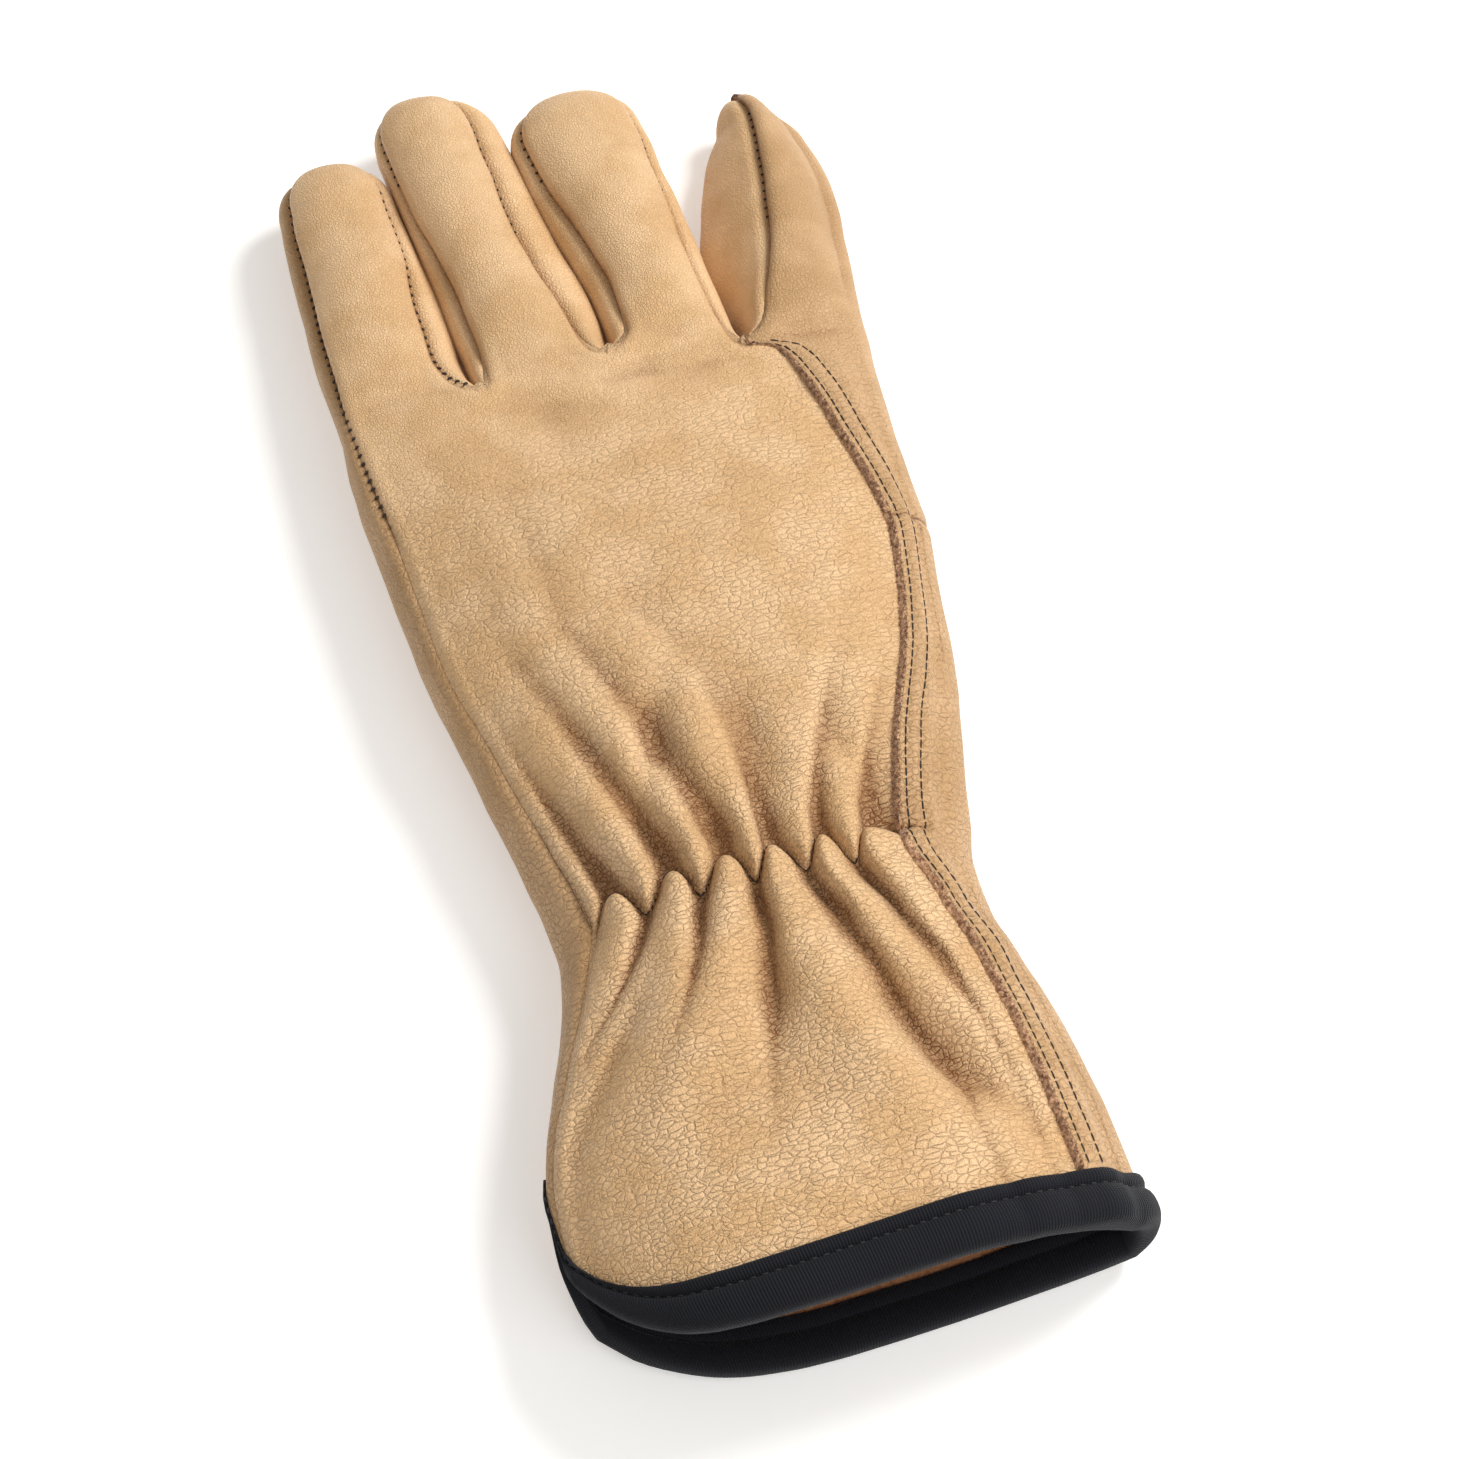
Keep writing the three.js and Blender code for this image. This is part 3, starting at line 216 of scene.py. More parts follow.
# Sections of the fingers at shares of their length, in finger widths and heights
FINGER_SHAPE = "at left right heelL heelR leftZ rightZ crown heelZL heelZR arch bulgeL bulgeR"
FINGERS = {
    "pinky": dict(length=PINKY_LENGTH, width=PINKY_WIDTH, middle=-0.727, tip_x=0.05, tip_z=0.5, rows="""
        0 -0.626 0.652 -0.59 0.652 0.9 1.08 0.1 0.28 0.16 -0.06 0.1 0
        0.007 -0.624 0.59 -0.588 0.59 0.9 1.07 0.1 0.28 0.16 -0.06 0.1 0
        0.03 -0.622 0.535 -0.586 0.545 0.89 1.03 0.11 0.28 0.17 -0.06 0.1 0.07
        0.09 -0.613 0.435 -0.58 0.48 0.87 0.95 0.15 0.28 0.22 -0.08 0.1 0.16
        0.2 -0.585 0.375 -0.56 0.43 0.83 0.86 0.2 0.28 0.27 -0.18 0.11 0.215
        0.38 -0.557 0.39 -0.54 0.44 0.78 0.8 0.25 0.27 0.28 -0.28 0.11 0.225
        0.6 -0.505 0.46 -0.48 0.47 0.74 0.76 0.27 0.26 0.27 -0.32 0.12 0.14
        0.84 -0.415 0.49 -0.39 0.47 0.7 0.72 0.26 0.26 0.27 -0.32 0.11 0.1
    """),
    "ring": dict(length=RING_LENGTH, width=RING_WIDTH, middle=-0.2, tip_x=-0.21, tip_z=0.5, rows="""
        0 -0.667 0.705 -0.667 0.705 1.08 1.09 0.04 0.16 0.14 -0.04 0 0
        0.006 -0.62 0.625 -0.62 0.625 1.07 1.08 0.05 0.16 0.14 -0.04 0 0
        0.027 -0.595 0.565 -0.6 0.575 1.03 1.04 0.08 0.17 0.16 -0.05 0.03 0.08
        0.08 -0.565 0.51 -0.59 0.54 0.95 0.96 0.15 0.22 0.22 -0.08 0.1 0.2
        0.18 -0.543 0.462 -0.58 0.5 0.86 0.88 0.21 0.27 0.27 -0.23 0.13 0.31
        0.32 -0.54 0.37 -0.58 0.43 0.8 0.83 0.25 0.28 0.28 -0.3 0.14 0.37
        0.48 -0.595 0.3 -0.62 0.36 0.78 0.8 0.26 0.28 0.28 -0.32 0.1 0.37
        0.66 -0.68 0.285 -0.68 0.33 0.75 0.77 0.27 0.27 0.27 -0.33 0.05 0.33
        0.86 -0.7 0.29 -0.68 0.31 0.71 0.73 0.26 0.27 0.27 -0.32 0.06 0.27
    """),
    "middle": dict(length=MIDDLE_LENGTH, width=MIDDLE_WIDTH, middle=0.31, tip_x=-0.02, tip_z=0.5, rows="""
        0 -0.602 0.634 -0.602 0.634 1.09 1.1 0.04 0.14 0.16 -0.04 0 0
        0.007 -0.54 0.6 -0.54 0.6 1.08 1.09 0.05 0.14 0.16 -0.04 0 0
        0.03 -0.465 0.575 -0.475 0.58 1.04 1.05 0.08 0.16 0.17 -0.05 0.03 0.03
        0.07 -0.38 0.55 -0.41 0.565 0.98 0.98 0.13 0.21 0.21 -0.07 0.09 0.06
        0.16 -0.35 0.522 -0.39 0.55 0.9 0.9 0.2 0.26 0.27 -0.18 0.14 0.13
        0.26 -0.345 0.51 -0.39 0.54 0.85 0.85 0.24 0.28 0.28 -0.28 0.16 0.15
        0.38 -0.385 0.512 -0.43 0.535 0.82 0.82 0.26 0.28 0.28 -0.32 0.17 0.16
        0.52 -0.465 0.53 -0.5 0.54 0.79 0.79 0.27 0.27 0.27 -0.32 0.17 0.14
        0.66 -0.56 0.54 -0.575 0.54 0.76 0.76 0.27 0.27 0.27 -0.32 0.13 0.11
        0.84 -0.615 0.545 -0.6 0.53 0.73 0.73 0.26 0.27 0.27 -0.3 0.1 0.08
    """),
    "index": dict(length=INDEX_LENGTH, width=INDEX_WIDTH, middle=0.8, tip_x=0.29, tip_z=0.45, rows="""
        0 -0.464 0.41 -0.464 0.4 1.1 0.87 0.1 0.16 0.27 -0.05 0 0.125
        0.008 -0.41 0.412 -0.43 0.402 1.1 0.87 0.1 0.16 0.27 -0.05 0 0.125
        0.03 -0.345 0.418 -0.395 0.406 1.08 0.86 0.11 0.17 0.27 -0.06 0.01 0.125
        0.065 -0.265 0.43 -0.385 0.415 1.06 0.84 0.13 0.18 0.27 -0.08 0.03 0.125
        0.165 -0.16 0.48 -0.385 0.45 1.02 0.78 0.17 0.2 0.26 -0.17 0.06 0.125
        0.265 -0.046 0.53 -0.385 0.49 1 0.72 0.19 0.22 0.25 -0.23 0.08 0.125
        0.365 0.046 0.575 -0.42 0.53 0.98 0.68 0.2 0.23 0.25 -0.26 0.09 0.125
        0.51 0.139 0.645 -0.375 0.59 0.95 0.63 0.21 0.23 0.25 -0.28 0.1 0.125
        0.63 0.21 0.665 -0.27 0.61 0.91 0.6 0.2 0.23 0.25 -0.28 0.1 0.125
        0.8 0.295 0.625 -0.07 0.57 0.83 0.57 0.17 0.24 0.26 -0.26 0.1 0.125
        0.9 0.34 0.575 0.1 0.53 0.76 0.56 0.14 0.26 0.28 -0.25 0.09 0.07
    """),
}

# Rings of the thumb from the palm's hole to the tip, in thumb lengths, heights and widths
THUMB_RINGS = table("frontY frontZ backY backZ wide shift oval from", """
    0 0.98 -0.37 0.6 0.8 0 0.2 0.42
    0.012 0.98 -0.32 0.36 0.9 0 0.45 0.12
    0.035 0.98 -0.21 0.14 0.98 -0.01 0.75 0
    0.08 0.99 -0.05 0.03 1 -0.03 0.9 0
    0.17 1 0.11 -0.05 1 -0.06 1 0
    0.31 1 0.29 -0.08 0.98 -0.11 1 0
    0.47 1 0.47 -0.08 0.95 -0.17 1 0
    0.63 1 0.63 -0.07 0.9 -0.24 1 0
    0.77 0.99 0.77 -0.03 0.83 -0.3 1 0
    0.88 0.93 0.88 0.07 0.69 -0.34 1 0
    0.955 0.8 0.955 0.2 0.45 -0.37 1 0
    1 0.5 1 0.5 0 -0.38 1 0
""")

FINGER_NAMES = ["pinky", "ring", "middle", "index"]
TOP_COLUMNS = {"pinky": 8, "ring": 9, "middle": 8, "index": 5}
BOTTOM_COLUMNS = {"pinky": 3, "ring": 3, "middle": 4, "index": 4}
WALL_COLUMNS, LAP_COLUMNS, CROSS_SEAM_ROW = 3, 2, 20
ROOT_STEPS = curve([0, 0.342, 0.676, 1, 2], [0.015, 0, 0, -0.054, -0.066])
PINKY_RING, RING_MIDDLE = 0.342, 0.676
BLEND_SHARE, RIM_START, ROOT_START = 0.3, 0.13, 0.62
HOLE_ROWS, HOLE_COLUMNS = (14, 19), (1, 7)


def section_point(s, side, t):
    """A point of a four-sided section: 0 the back, 1 the right wall, 2 the palm, 3 the left wall."""

    def swell(power):
        return (1 - np.abs(2 * t - 1) ** power) ** s.get("round", 1.0)

    if side == 0:
        return mix(s["left"], s["right"], t), mix(s["leftZ"], s["rightZ"], t) + s["crown"] * swell(s["flat"])
    if side == 1:
        return mix(s["right"], s["heelR"], t) + s["bulgeR"] * swell(2.3), mix(s["rightZ"], s["heelZR"], t)
    if side == 2:
        z = mix(s["heelZR"], s["heelZL"], t) + s["arch"] * swell(2.6)
        return mix(s["heelR"], s["heelL"], t), np.maximum(z, 0)
    return mix(s["heelL"], s["left"], t) - s["bulgeL"] * swell(2.3), mix(s["heelZL"], s["leftZ"], t)


body_curves = curves(BODY, "at")
pleat_phase = curve(PLEATS["across"], PLEATS["phase"])
fan_curves = curves(FAN, "across")


def share_y(share):
    share = np.asarray(share, float)
    return share * np.where(share < 0, CUFF_LENGTH, HAND_LENGTH)


def y_share(y):
    return y / np.where(y < 0, CUFF_LENGTH, HAND_LENGTH)


def pleat_off(across, y):
    """The pleats' wave at a place, and how far the place lies up from the gathered line."""
    fan = fan_curves(np.clip(across, 0, 1))
    away = np.clip(np.abs(y) - STRAIGHT_PLEAT, 0, 0.6 * CUFF_LENGTH)
    turned = across - away * np.where(y < 0, fan["cuff"] / CUFF_LENGTH, fan["hand"] / HAND_LENGTH)
    wave = np.cos(2 * np.pi * pleat_phase(np.clip(turned, 0, 1)))
    return wave, y - gather_line(across, wave)


def gather_line(across, wave):
    return PLEAT_ZIGZAG * line_wave(wave) + PLEAT_TILT * (0.2 - across)


def line_wave(wave):
    """The gathered line runs round the top of a cuff lobe and to a point below a hand lobe."""
    return 2 * ((1 + wave) / 2) ** LINE_ROUND - 1


def lobes(across, y):
    """How far up a puff a place is, -1 to 1, how strongly puffs show there, and its distance off the line."""
    wave, off = pleat_off(across, y)
    fan = fan_curves(np.clip(across, 0, 1))
    reach = np.where(off > 0, fan["handReach"], fan["cuffReach"])
    puff = -wave * np.sign(off)
    lobe = 2 * np.clip((1 + puff) / 2, 0, 1) ** np.where(off > 0, HAND_ROUND, CUFF_ROUND) - 1
    return lobe, (1 - np.exp(-np.abs(off) / PUFF_START)) * np.exp(-np.abs(off) / reach), off


def relief(across, y):
    """The puffs, grooves and dents of the back, at a share of the way across it."""
    lobe, strength, off = lobes(across, y)
    fade = smooth(across / 0.06) * smooth((1.12 - across) / 0.14)
    rise = PLEAT_DEPTH * PUFF_GAIN * lobe * strength
    rise -= PLEAT_GROOVE * bump(off, GROOVE_HALF)
    for i in range(len(DENTS["across"])):
        d = {name: column[i] for name, column in DENTS.items()}
        turn = math.radians(d["turn"])
        dx = (across - d["across"]) * 1.5 * HALF_WIDTH
        dy = y - share_y(d["at"])
        wide = (dx * math.cos(turn) + dy * math.sin(turn)) / (d["wide"] * HALF_WIDTH)
        long = (dy * math.cos(turn) - dx * math.sin(turn)) / (d["long"] * HAND_LENGTH)
        rise += d["rise"] * GLOVE_HEIGHT * np.exp(-(wide**2) - long**2)
    return rise * fade


WIDTHS = dict(left="seam", right="edge", heelL="heelL", heelR="heelR", bulgeL="rollL", bulgeR="rollR")
HEIGHTS = dict(leftZ="seamZ", rightZ="edgeZ", crown="crown", heelZL="heelZL", heelZR="heelZR", arch="arch")


def body_section(y):
    row = body_curves(y_share(y))
    s = {key: row[name] * HALF_WIDTH for key, name in WIDTHS.items()}
    s.update({key: row[name] * GLOVE_HEIGHT for key, name in HEIGHTS.items()})
    return {**s, "flat": row["flat"], "lap": row["lap"]}


def rim_curve(side):
    rows = list(zip(RIM_BACK["arc"], RIM_BACK["along"], RIM_BACK["back"]))
    own = [(along, back) for arc, along, back in rows if arc == side]
    if own[0][0] > 0:
        own.insert(0, (0, [back for arc, _, back in rows if arc == side - 1][-1]))
    if own[-1][0] < 1:
        own.append((1, next(back for arc, _, back in rows if arc == (side + 1) % 4)))
    return curve([a for a, _ in own], [b for _, b in own])


rim_curves = [rim_curve(side) for side in range(4)]


def body_point(side, group, row):
    """Points of the hand and cuff. group: 0 at the seam, 1 at the lap, 2 at the edge."""
    root = [group, 2 + 0 * group, 2 - group, 0 * group][side]
    rim_part = np.clip((-row / CUFF_LENGTH - RIM_START) / (1 - RIM_START), 0, 1) ** 1.5
    root_part = smooth((row / HAND_LENGTH - ROOT_START) / (1 - ROOT_START))
    t = group + 0 * row
    y = row + 0 * group
    for _ in range(6):
        lap = body_curves(y_share(y))["lap"]
        if side == 0:
            t = np.where(group < 1, group * lap, mix(lap, 1, group - 1))
        if side == 2:
            t = np.where(group < 1, group * (1 - lap), mix(1 - lap, 1, group - 1))
        y = row + rim_curves[side](t) * CUFF_LENGTH * rim_part + ROOT_STEPS(root) * HAND_LENGTH * root_part
    s = body_section(y)
    x, z = section_point(s, side, t)
    if side == 0:
        z = z + relief(t / s["lap"], y)
    return np.stack([x + 0 * z, y + 0 * z, z], axis=-1)


def spread(start, end, count, fine, ease=1.0):
    """Places of columns from start up to end, which is left to the next stretch."""
    return start + (end - start) * (np.arange(count * fine) / (count * fine)) ** ease


top_columns = np.concatenate([
    spread(0, PINKY_RING, TOP_COLUMNS["pinky"], FINE_TOP, 1.25),
    spread(PINKY_RING, RING_MIDDLE, TOP_COLUMNS["ring"], FINE_TOP),
    spread(RING_MIDDLE, 1, TOP_COLUMNS["middle"], FINE_TOP),
    spread(1, 1 + LAP_SHARE, LAP_COLUMNS, FINE_TOP),
    spread(1 + LAP_SHARE, 2, TOP_COLUMNS["index"] - LAP_COLUMNS, FINE_TOP),
    [2],
])
wall_columns = np.append(spread(0, 1, WALL_COLUMNS, FINE_WALL), 1)
bottom_columns = np.concatenate([
    spread(0, 1, BOTTOM_COLUMNS["index"], FINE_BOTTOM),
    spread(1, 2 - RING_MIDDLE, BOTTOM_COLUMNS["middle"], FINE_BOTTOM),
    spread(2 - RING_MIDDLE, 2 - PINKY_RING, BOTTOM_COLUMNS["ring"], FINE_BOTTOM),
    spread(2 - PINKY_RING, 2, BOTTOM_COLUMNS["pinky"], FINE_BOTTOM),
    [2],
])

rim_row = -CUFF_LENGTH
coarse_rows = np.concatenate([rim_row + BINDING_WIDTH * np.array([0, 0.5, 1]), share_y(BODY_ROWS)])
row_starts = [0]
rows = [coarse_rows[:1]]
row_places = [np.zeros(1)]
for j in range(len(coarse_rows) - 1):
    count = max(1, int(round((coarse_rows[j + 1] - coarse_rows[j]) / CELL)))
    steps = np.arange(1, count + 1) / count
    rows.append(mix(coarse_rows[j], coarse_rows[j + 1], steps))
    row_places.append(j + steps)
    row_starts.append(row_starts[-1] + count)
rows = np.concatenate(rows)[:, None]
row_places = np.concatenate(row_places)
binding_row, cross_row = row_starts[2], row_starts[3 + CROSS_SEAM_ROW]
last_row = len(rows) - 1
lap_column = sum(TOP_COLUMNS[name] for name in FINGER_NAMES[:3]) * FINE_TOP

grids = []


def add_grid(points, owner):
    """Keeps a grid of points; owner gives each cell's piece, or None for a hole."""
    grids.append({"points": points, "owner": owner})
    return len(grids) - 1


def cells(grid_shape, name):
    return np.full((grid_shape[0] - 1, grid_shape[1] - 1), name, dtype=object)


body = []
for side, columns in enumerate([top_columns, wall_columns, bottom_columns, wall_columns]):
    pts = body_point(side, columns[None, :], rows)
    owner = cells(pts.shape, "palm_panel")
    if side == 0:
        owner[:, :lap_column] = "back_panel"
        owner[cross_row:, lap_column:] = "index_wrap"
    if side == 1:
        owner[cross_row:, :] = "index_wrap"
    if side == 2:
        hole_rows = slice(row_starts[HOLE_ROWS[0]], row_starts[HOLE_ROWS[1]])
        owner[hole_rows, HOLE_COLUMNS[0] * FINE_BOTTOM : HOLE_COLUMNS[1] * FINE_BOTTOM] = None
    body.append(add_grid(pts, owner))


def finger_section(finger, at, turn):
    row = finger["curves"](at)
    w, h = finger["width"], FINGER_HEIGHT
    middle = finger["middle"] * HALF_WIDTH
    narrow = 1.0 if turn is None else max(math.cos(turn), 0) ** 0.85
    low = 1.0 if turn is None else max(math.cos(turn), 0) ** 0.8
    s = {key: mix(middle + finger["tip_x"] * w, middle + row[key] * w, narrow)
         for key in ("left", "right", "heelL", "heelR")}
    s.update({key: mix(finger["tip_z"] * h, row[key] * h, low)
              for key in ("leftZ", "rightZ", "heelZL", "heelZR")})
    return {
        **s,
        "crown": row["crown"] * h * low,
        "flat": 2.3,
        "round": 0.72,
        "arch": row["arch"] * h * low,
        "bulgeL": row["bulgeL"] * w * low,
        "bulgeR": row["bulgeR"] * w * low,
    }


WALL_PIECES = {
    "pinky": ("palm_panel", "fourchette_pinky_ring"),
    "ring": ("fourchette_pinky_ring", "fourchette_ring_middle"),
    "middle": ("fourchette_ring_middle", "fourchette_middle_index"),
    "index": ("fourchette_middle_index", "index_wrap"),
}
top_root = grids[body[0]]["points"][last_row]
bottom_root = grids[body[2]]["points"][last_row]
finger_grids = {}
top_at, bottom_at = 0, len(bottom_root) - 1
for name in FINGER_NAMES:
    t0, t1 = top_at, top_at + TOP_COLUMNS[name] * FINE_TOP
    b1, b0 = bottom_at, bottom_at - BOTTOM_COLUMNS[name] * FINE_BOTTOM
    top_at, bottom_at = t1, b0
    down = np.linspace(0, 1, WALL_COLUMNS * FINE_WALL + 1)[:, None]
    right = mix(top_root[t1], bottom_root[b0], down)
    left = mix(bottom_root[b1], top_root[t0], down)
    if name == "index":
        right = grids[body[1]]["points"][last_row]
    if name == "pinky":
        left = grids[body[3]]["points"][last_row]
    roots = [top_root[t0 : t1 + 1], right, bottom_root[b0 : b1 + 1], left]
    finger = {**FINGERS[name], "curves": curves(table(FINGER_SHAPE, FINGERS[name]["rows"]), "at")}
    crotches = {"pinky": [t1], "index": [t0]}.get(name, [t0, t1])
    seam_y = max(top_root[t][1] for t in crotches)
    tip_y = seam_y + finger["length"]
    tip_start = 1 - TIP_LENGTH / finger["length"]
    count = int(round(tip_start * finger["length"] / CELL))
    path = [(at, None) for at in np.linspace(0, tip_start, count + 1)[1:]]
    for degrees in np.linspace(0, 90, 17)[1:]:
        turn = math.radians(degrees)
        path.append((mix(tip_start, 1, math.sin(turn)), turn))
    base = finger_section(finger, 0.0, None)
    finger_grids[name] = []
    for side, root in enumerate(roots):
        t = np.linspace(0, 1, len(root))
        base_x, base_z = section_point(base, side, t)
        pts = [root]
        for at, turn in path:
            x, z = section_point(finger_section(finger, at, turn), side, t)
            keep = 1 - smooth(at / BLEND_SHARE)
            x = x + (root[:, 0] - base_x) * keep
            z = z + (root[:, 2] - base_z) * keep
            pts.append(np.stack([x, mix(root[:, 1], tip_y, at), z], axis=-1))
        pts = np.array(pts)
        skin = "index_wrap" if name == "index" else "back_panel"
        under = "index_wrap" if name == "index" else "palm_panel"
        piece = [skin, WALL_PIECES[name][1], under, WALL_PIECES[name][0]][side]
        finger_grids[name].append(add_grid(pts, cells(pts.shape, piece)))

# The thumb, from the palm's hole round under the palm
palm_points = grids[body[2]]["points"]
j0, j1 = (row_starts[j] for j in HOLE_ROWS)
i0, i1 = (i * FINE_BOTTOM for i in HOLE_COLUMNS)


def hole_rim(j0, j1, i0, i1):
    """The rows and columns round the hole, one after another."""
    rim = [(j1, i) for i in range(i1, i0, -1)] + [(j, i0) for j in range(j1, j0, -1)]
    return rim + [(j0, i) for i in range(i0, i1)] + [(j, i1) for j in range(j0, j1)]


hole = hole_rim(j0, j1, i0, i1)
hole_points = np.array([palm_points[j, i] for j, i in hole])
corners = [palm_points[row_starts[j], i * FINE_BOTTOM] for j, i in hole_rim(*HOLE_ROWS, *HOLE_COLUMNS)]
hole_center_x = np.mean([c[0] for c in corners])
hole_front_y = min(c[1] for c in corners[: HOLE_COLUMNS[1] - HOLE_COLUMNS[0]])
across = np.array([1 - (i - i0) / (i1 - i0) for _, i in hole])
down = np.array([1 - (row_places[j] - HOLE_ROWS[0]) / (HOLE_ROWS[1] - HOLE_ROWS[0]) for j, _ in hole])
angle = np.arctan2(down - 0.5, across - 0.5)
ring_numbers = np.arange(len(THUMB_RINGS["wide"]))
ring_curves = {name: curve(ring_numbers, column) for name, column in THUMB_RINGS.items()}
thumb_rings = []
for k in np.linspace(0, len(ring_numbers) - 1, (len(ring_numbers) - 1) * FINE_THUMB + 1):
    r = {name: c(k) for name, c in ring_curves.items()}
    u = mix(across, 0.5 + 0.5 * np.cos(angle), r["oval"])
    v = mix(down, 0.5 + 0.5 * np.sin(angle), r["oval"])
    x = hole_center_x + (r["shift"] + (u - 0.5) * r["wide"]) * THUMB_WIDTH
    y = hole_front_y + mix(r["frontY"], r["backY"], v) * THUMB_LENGTH
    z = np.maximum(0, mix(r["frontZ"], r["backZ"], v) * THUMB_HEIGHT)
    ring = np.stack([x, y, z], axis=-1)
    thumb_rings.append(mix(ring, hole_points, r["from"]))
lead = [mix(hole_points, thumb_rings[0], f) for f in (0, 0.25, 0.5, 0.75)]
thumb_points = np.array(lead + thumb_rings)
thumb_points = np.concatenate([thumb_points, thumb_points[:, :1]], axis=1)
thumb_grid = add_grid(thumb_points, cells(thumb_points.shape, "thumb"))


def grid_cells(n):
    return np.stack([n[:-1, :-1], n[:-1, 1:], n[1:, 1:], n[1:, :-1]], axis=-1).reshape(-1, 4)


# Every point once
flat_points = np.concatenate([g["points"].reshape(-1, 3) for g in grids])
rounded = np.round(flat_points * 1000).astype(np.int64)
_, first, index = np.unique(rounded, axis=0, return_index=True, return_inverse=True)
index = index.reshape(-1)
base_points = flat_points[first]
at = 0
quads, owners = [], []
for g in grids:
    shape = g["points"].shape[:2]
    g["index"] = index[at : at + shape[0] * shape[1]].reshape(shape)
    at += shape[0] * shape[1]
    quads.append(grid_cells(g["index"]))
    owners.append(g["owner"].reshape(-1))
quads, owners = np.concatenate(quads), np.concatenate(owners)
alive = np.array([o is not None for o in owners])
quads, owners = quads[alive], owners[alive]


def point_normals(points):
    p = points[quads]
    n = np.cross(p[:, 2] - p[:, 0], p[:, 3] - p[:, 1])
    total = np.zeros_like(points)
    for k in range(4):
        np.add.at(total, quads[:, k], n)
    return unit(total)


normals = point_normals(base_points)

# Seams: lines of points where two pieces meet, each with the length along it
top, wall_right, palm, wall_left = (grids[b]["index"] for b in body)
fingers = {name: [grids[g]["index"] for g in finger_grids[name]] for name in FINGER_NAMES}


def line(*parts):
    joined = np.concatenate(parts)
    keep = np.concatenate([[True], joined[1:] != joined[:-1]])
    return joined[keep]


def lengths(points):
    return np.concatenate([[0], np.cumsum(np.linalg.norm(np.diff(points, axis=0), axis=1))])


index_palm = palm[last_row, : BOTTOM_COLUMNS["index"] * FINE_BOTTOM + 1]
seams = {
    "left": line(top[:, 0], fingers["pinky"][0][:, 0]),
    **{name + end: fingers[name][0][:, column] for name in FINGER_NAMES
       for end, column in (("_left", 0), ("_right", -1)) if name + end not in ("pinky_left", "index_right")},
    "cross": line(top[cross_row, lap_column:], wall_right[cross_row]),
    "edge_under": line(wall_right[cross_row:, -1], index_palm),
    "index_under": fingers["index"][2][:, -1],
    "thumb": grids[thumb_grid]["index"][0],
}
for name in FINGER_NAMES[:3]:
    seams[name + "_under_right"] = fingers[name][2][:, 0]
    if name != "pinky":
        seams[name + "_under_left"] = fingers[name][2][:, -1]
seam_points = np.concatenate(list(seams.values()))
seam_run = np.concatenate([lengths(base_points[s]) for s in seams.values()])
seam_name = np.concatenate([np.full(len(s), n, dtype=object) for n, s in seams.items()])
tree = kdtree.KDTree(len(seam_points))
for i, p in enumerate(base_points[seam_points]):
    tree.insert(p, i)
tree.balance()
nearest = [tree.find(p) for p in base_points]
seam_distance = np.array([n[2] for n in nearest])
nearest_index = np.array([n[1] for n in nearest])
nearest_run = seam_run[nearest_index]
nearest_name = seam_name[nearest_index]

# How far past the lap's edge each point lies, in every row of the back
lap_grid = base_points[top]
lap_distance = np.full(len(base_points), -1.0)
lap_steps = np.linalg.norm(np.diff(lap_grid[:, lap_column:], axis=1), axis=2)
lap_across = np.concatenate([np.zeros((len(lap_grid), 1)), np.cumsum(lap_steps, axis=1)], axis=1)
lap_distance[top[:, lap_column:]] = lap_across

# Fine unevenness of the leather, from a fixed block of random numbers: height, length and place of each layer
LATTICE = 32
UNEVEN = ((0.9, 17.0, 0.0), (0.45, 7.0, 5.0))
lattice = np.random.default_rng(11).random((LATTICE, LATTICE, LATTICE)) - 0.5


def noise(points, size):
    p = points / size
    i = np.floor(p).astype(int)
    f = smooth(p - i)
    total = 0
    for corner in np.ndindex(2, 2, 2):
        weight = np.prod(np.abs(1 - np.array(corner) - f), axis=1)
        total = total + weight * lattice[tuple(((i + corner) % LATTICE).T)]
    return total


def unevenness(points):
    return sum(height * noise(points + start, size) for height, size, start in UNEVEN)


is_cross = nearest_name == "cross"
is_left = nearest_name == "left"
rolled = np.where(is_left, smooth((STITCHED_DOWN_TO - base_points[:, 1]) / SOFTENING), 0)
depth = np.where(is_cross, CROSS_DEPTH, mix(SEAM_DEPTH, SOFT_DEPTH, rolled))
pucker = 0.5 + 0.5 * np.cos(2 * np.pi * nearest_run / STITCH_PITCH)
rise = -depth * bump(seam_distance, mix(SEAM_HALF, SOFT_HALF, rolled))
rise += np.where(is_cross, CROSS_SWELL, SEAM_SWELL) * bump(seam_distance - SWELL_AT, SWELL_HALF)
rise -= np.where(is_left, PUCKER_LEFT * (1 - rolled), PUCKER) * pucker * bump(seam_distance, PUCKER_HALF)
rise += unevenness(base_points)
for name, side in (("pinky", 1), ("ring", 3), ("ring", 1), ("middle", 3), ("middle", 1), ("index", 3)):
    ids = fingers[name][side]
    from_root = base_points[ids][..., 1] - base_points[ids[:1]][..., 1]
    rise[ids] = np.maximum(rise[ids], rise[ids] + CROTCH_FILL * bump(from_root, CROTCH_REACH))
lap_groove = np.zeros(len(base_points))
on_lap = lap_distance >= 0
for d in LAP_STITCHES:
    lap_groove -= on_lap * LAP_GROOVE * bump(lap_distance - d, LAP_GROOVE_HALF)
lap_groove += on_lap * LAP_SWELL * bump(lap_distance - sum(LAP_STITCHES) / 2, SWELL_HALF)

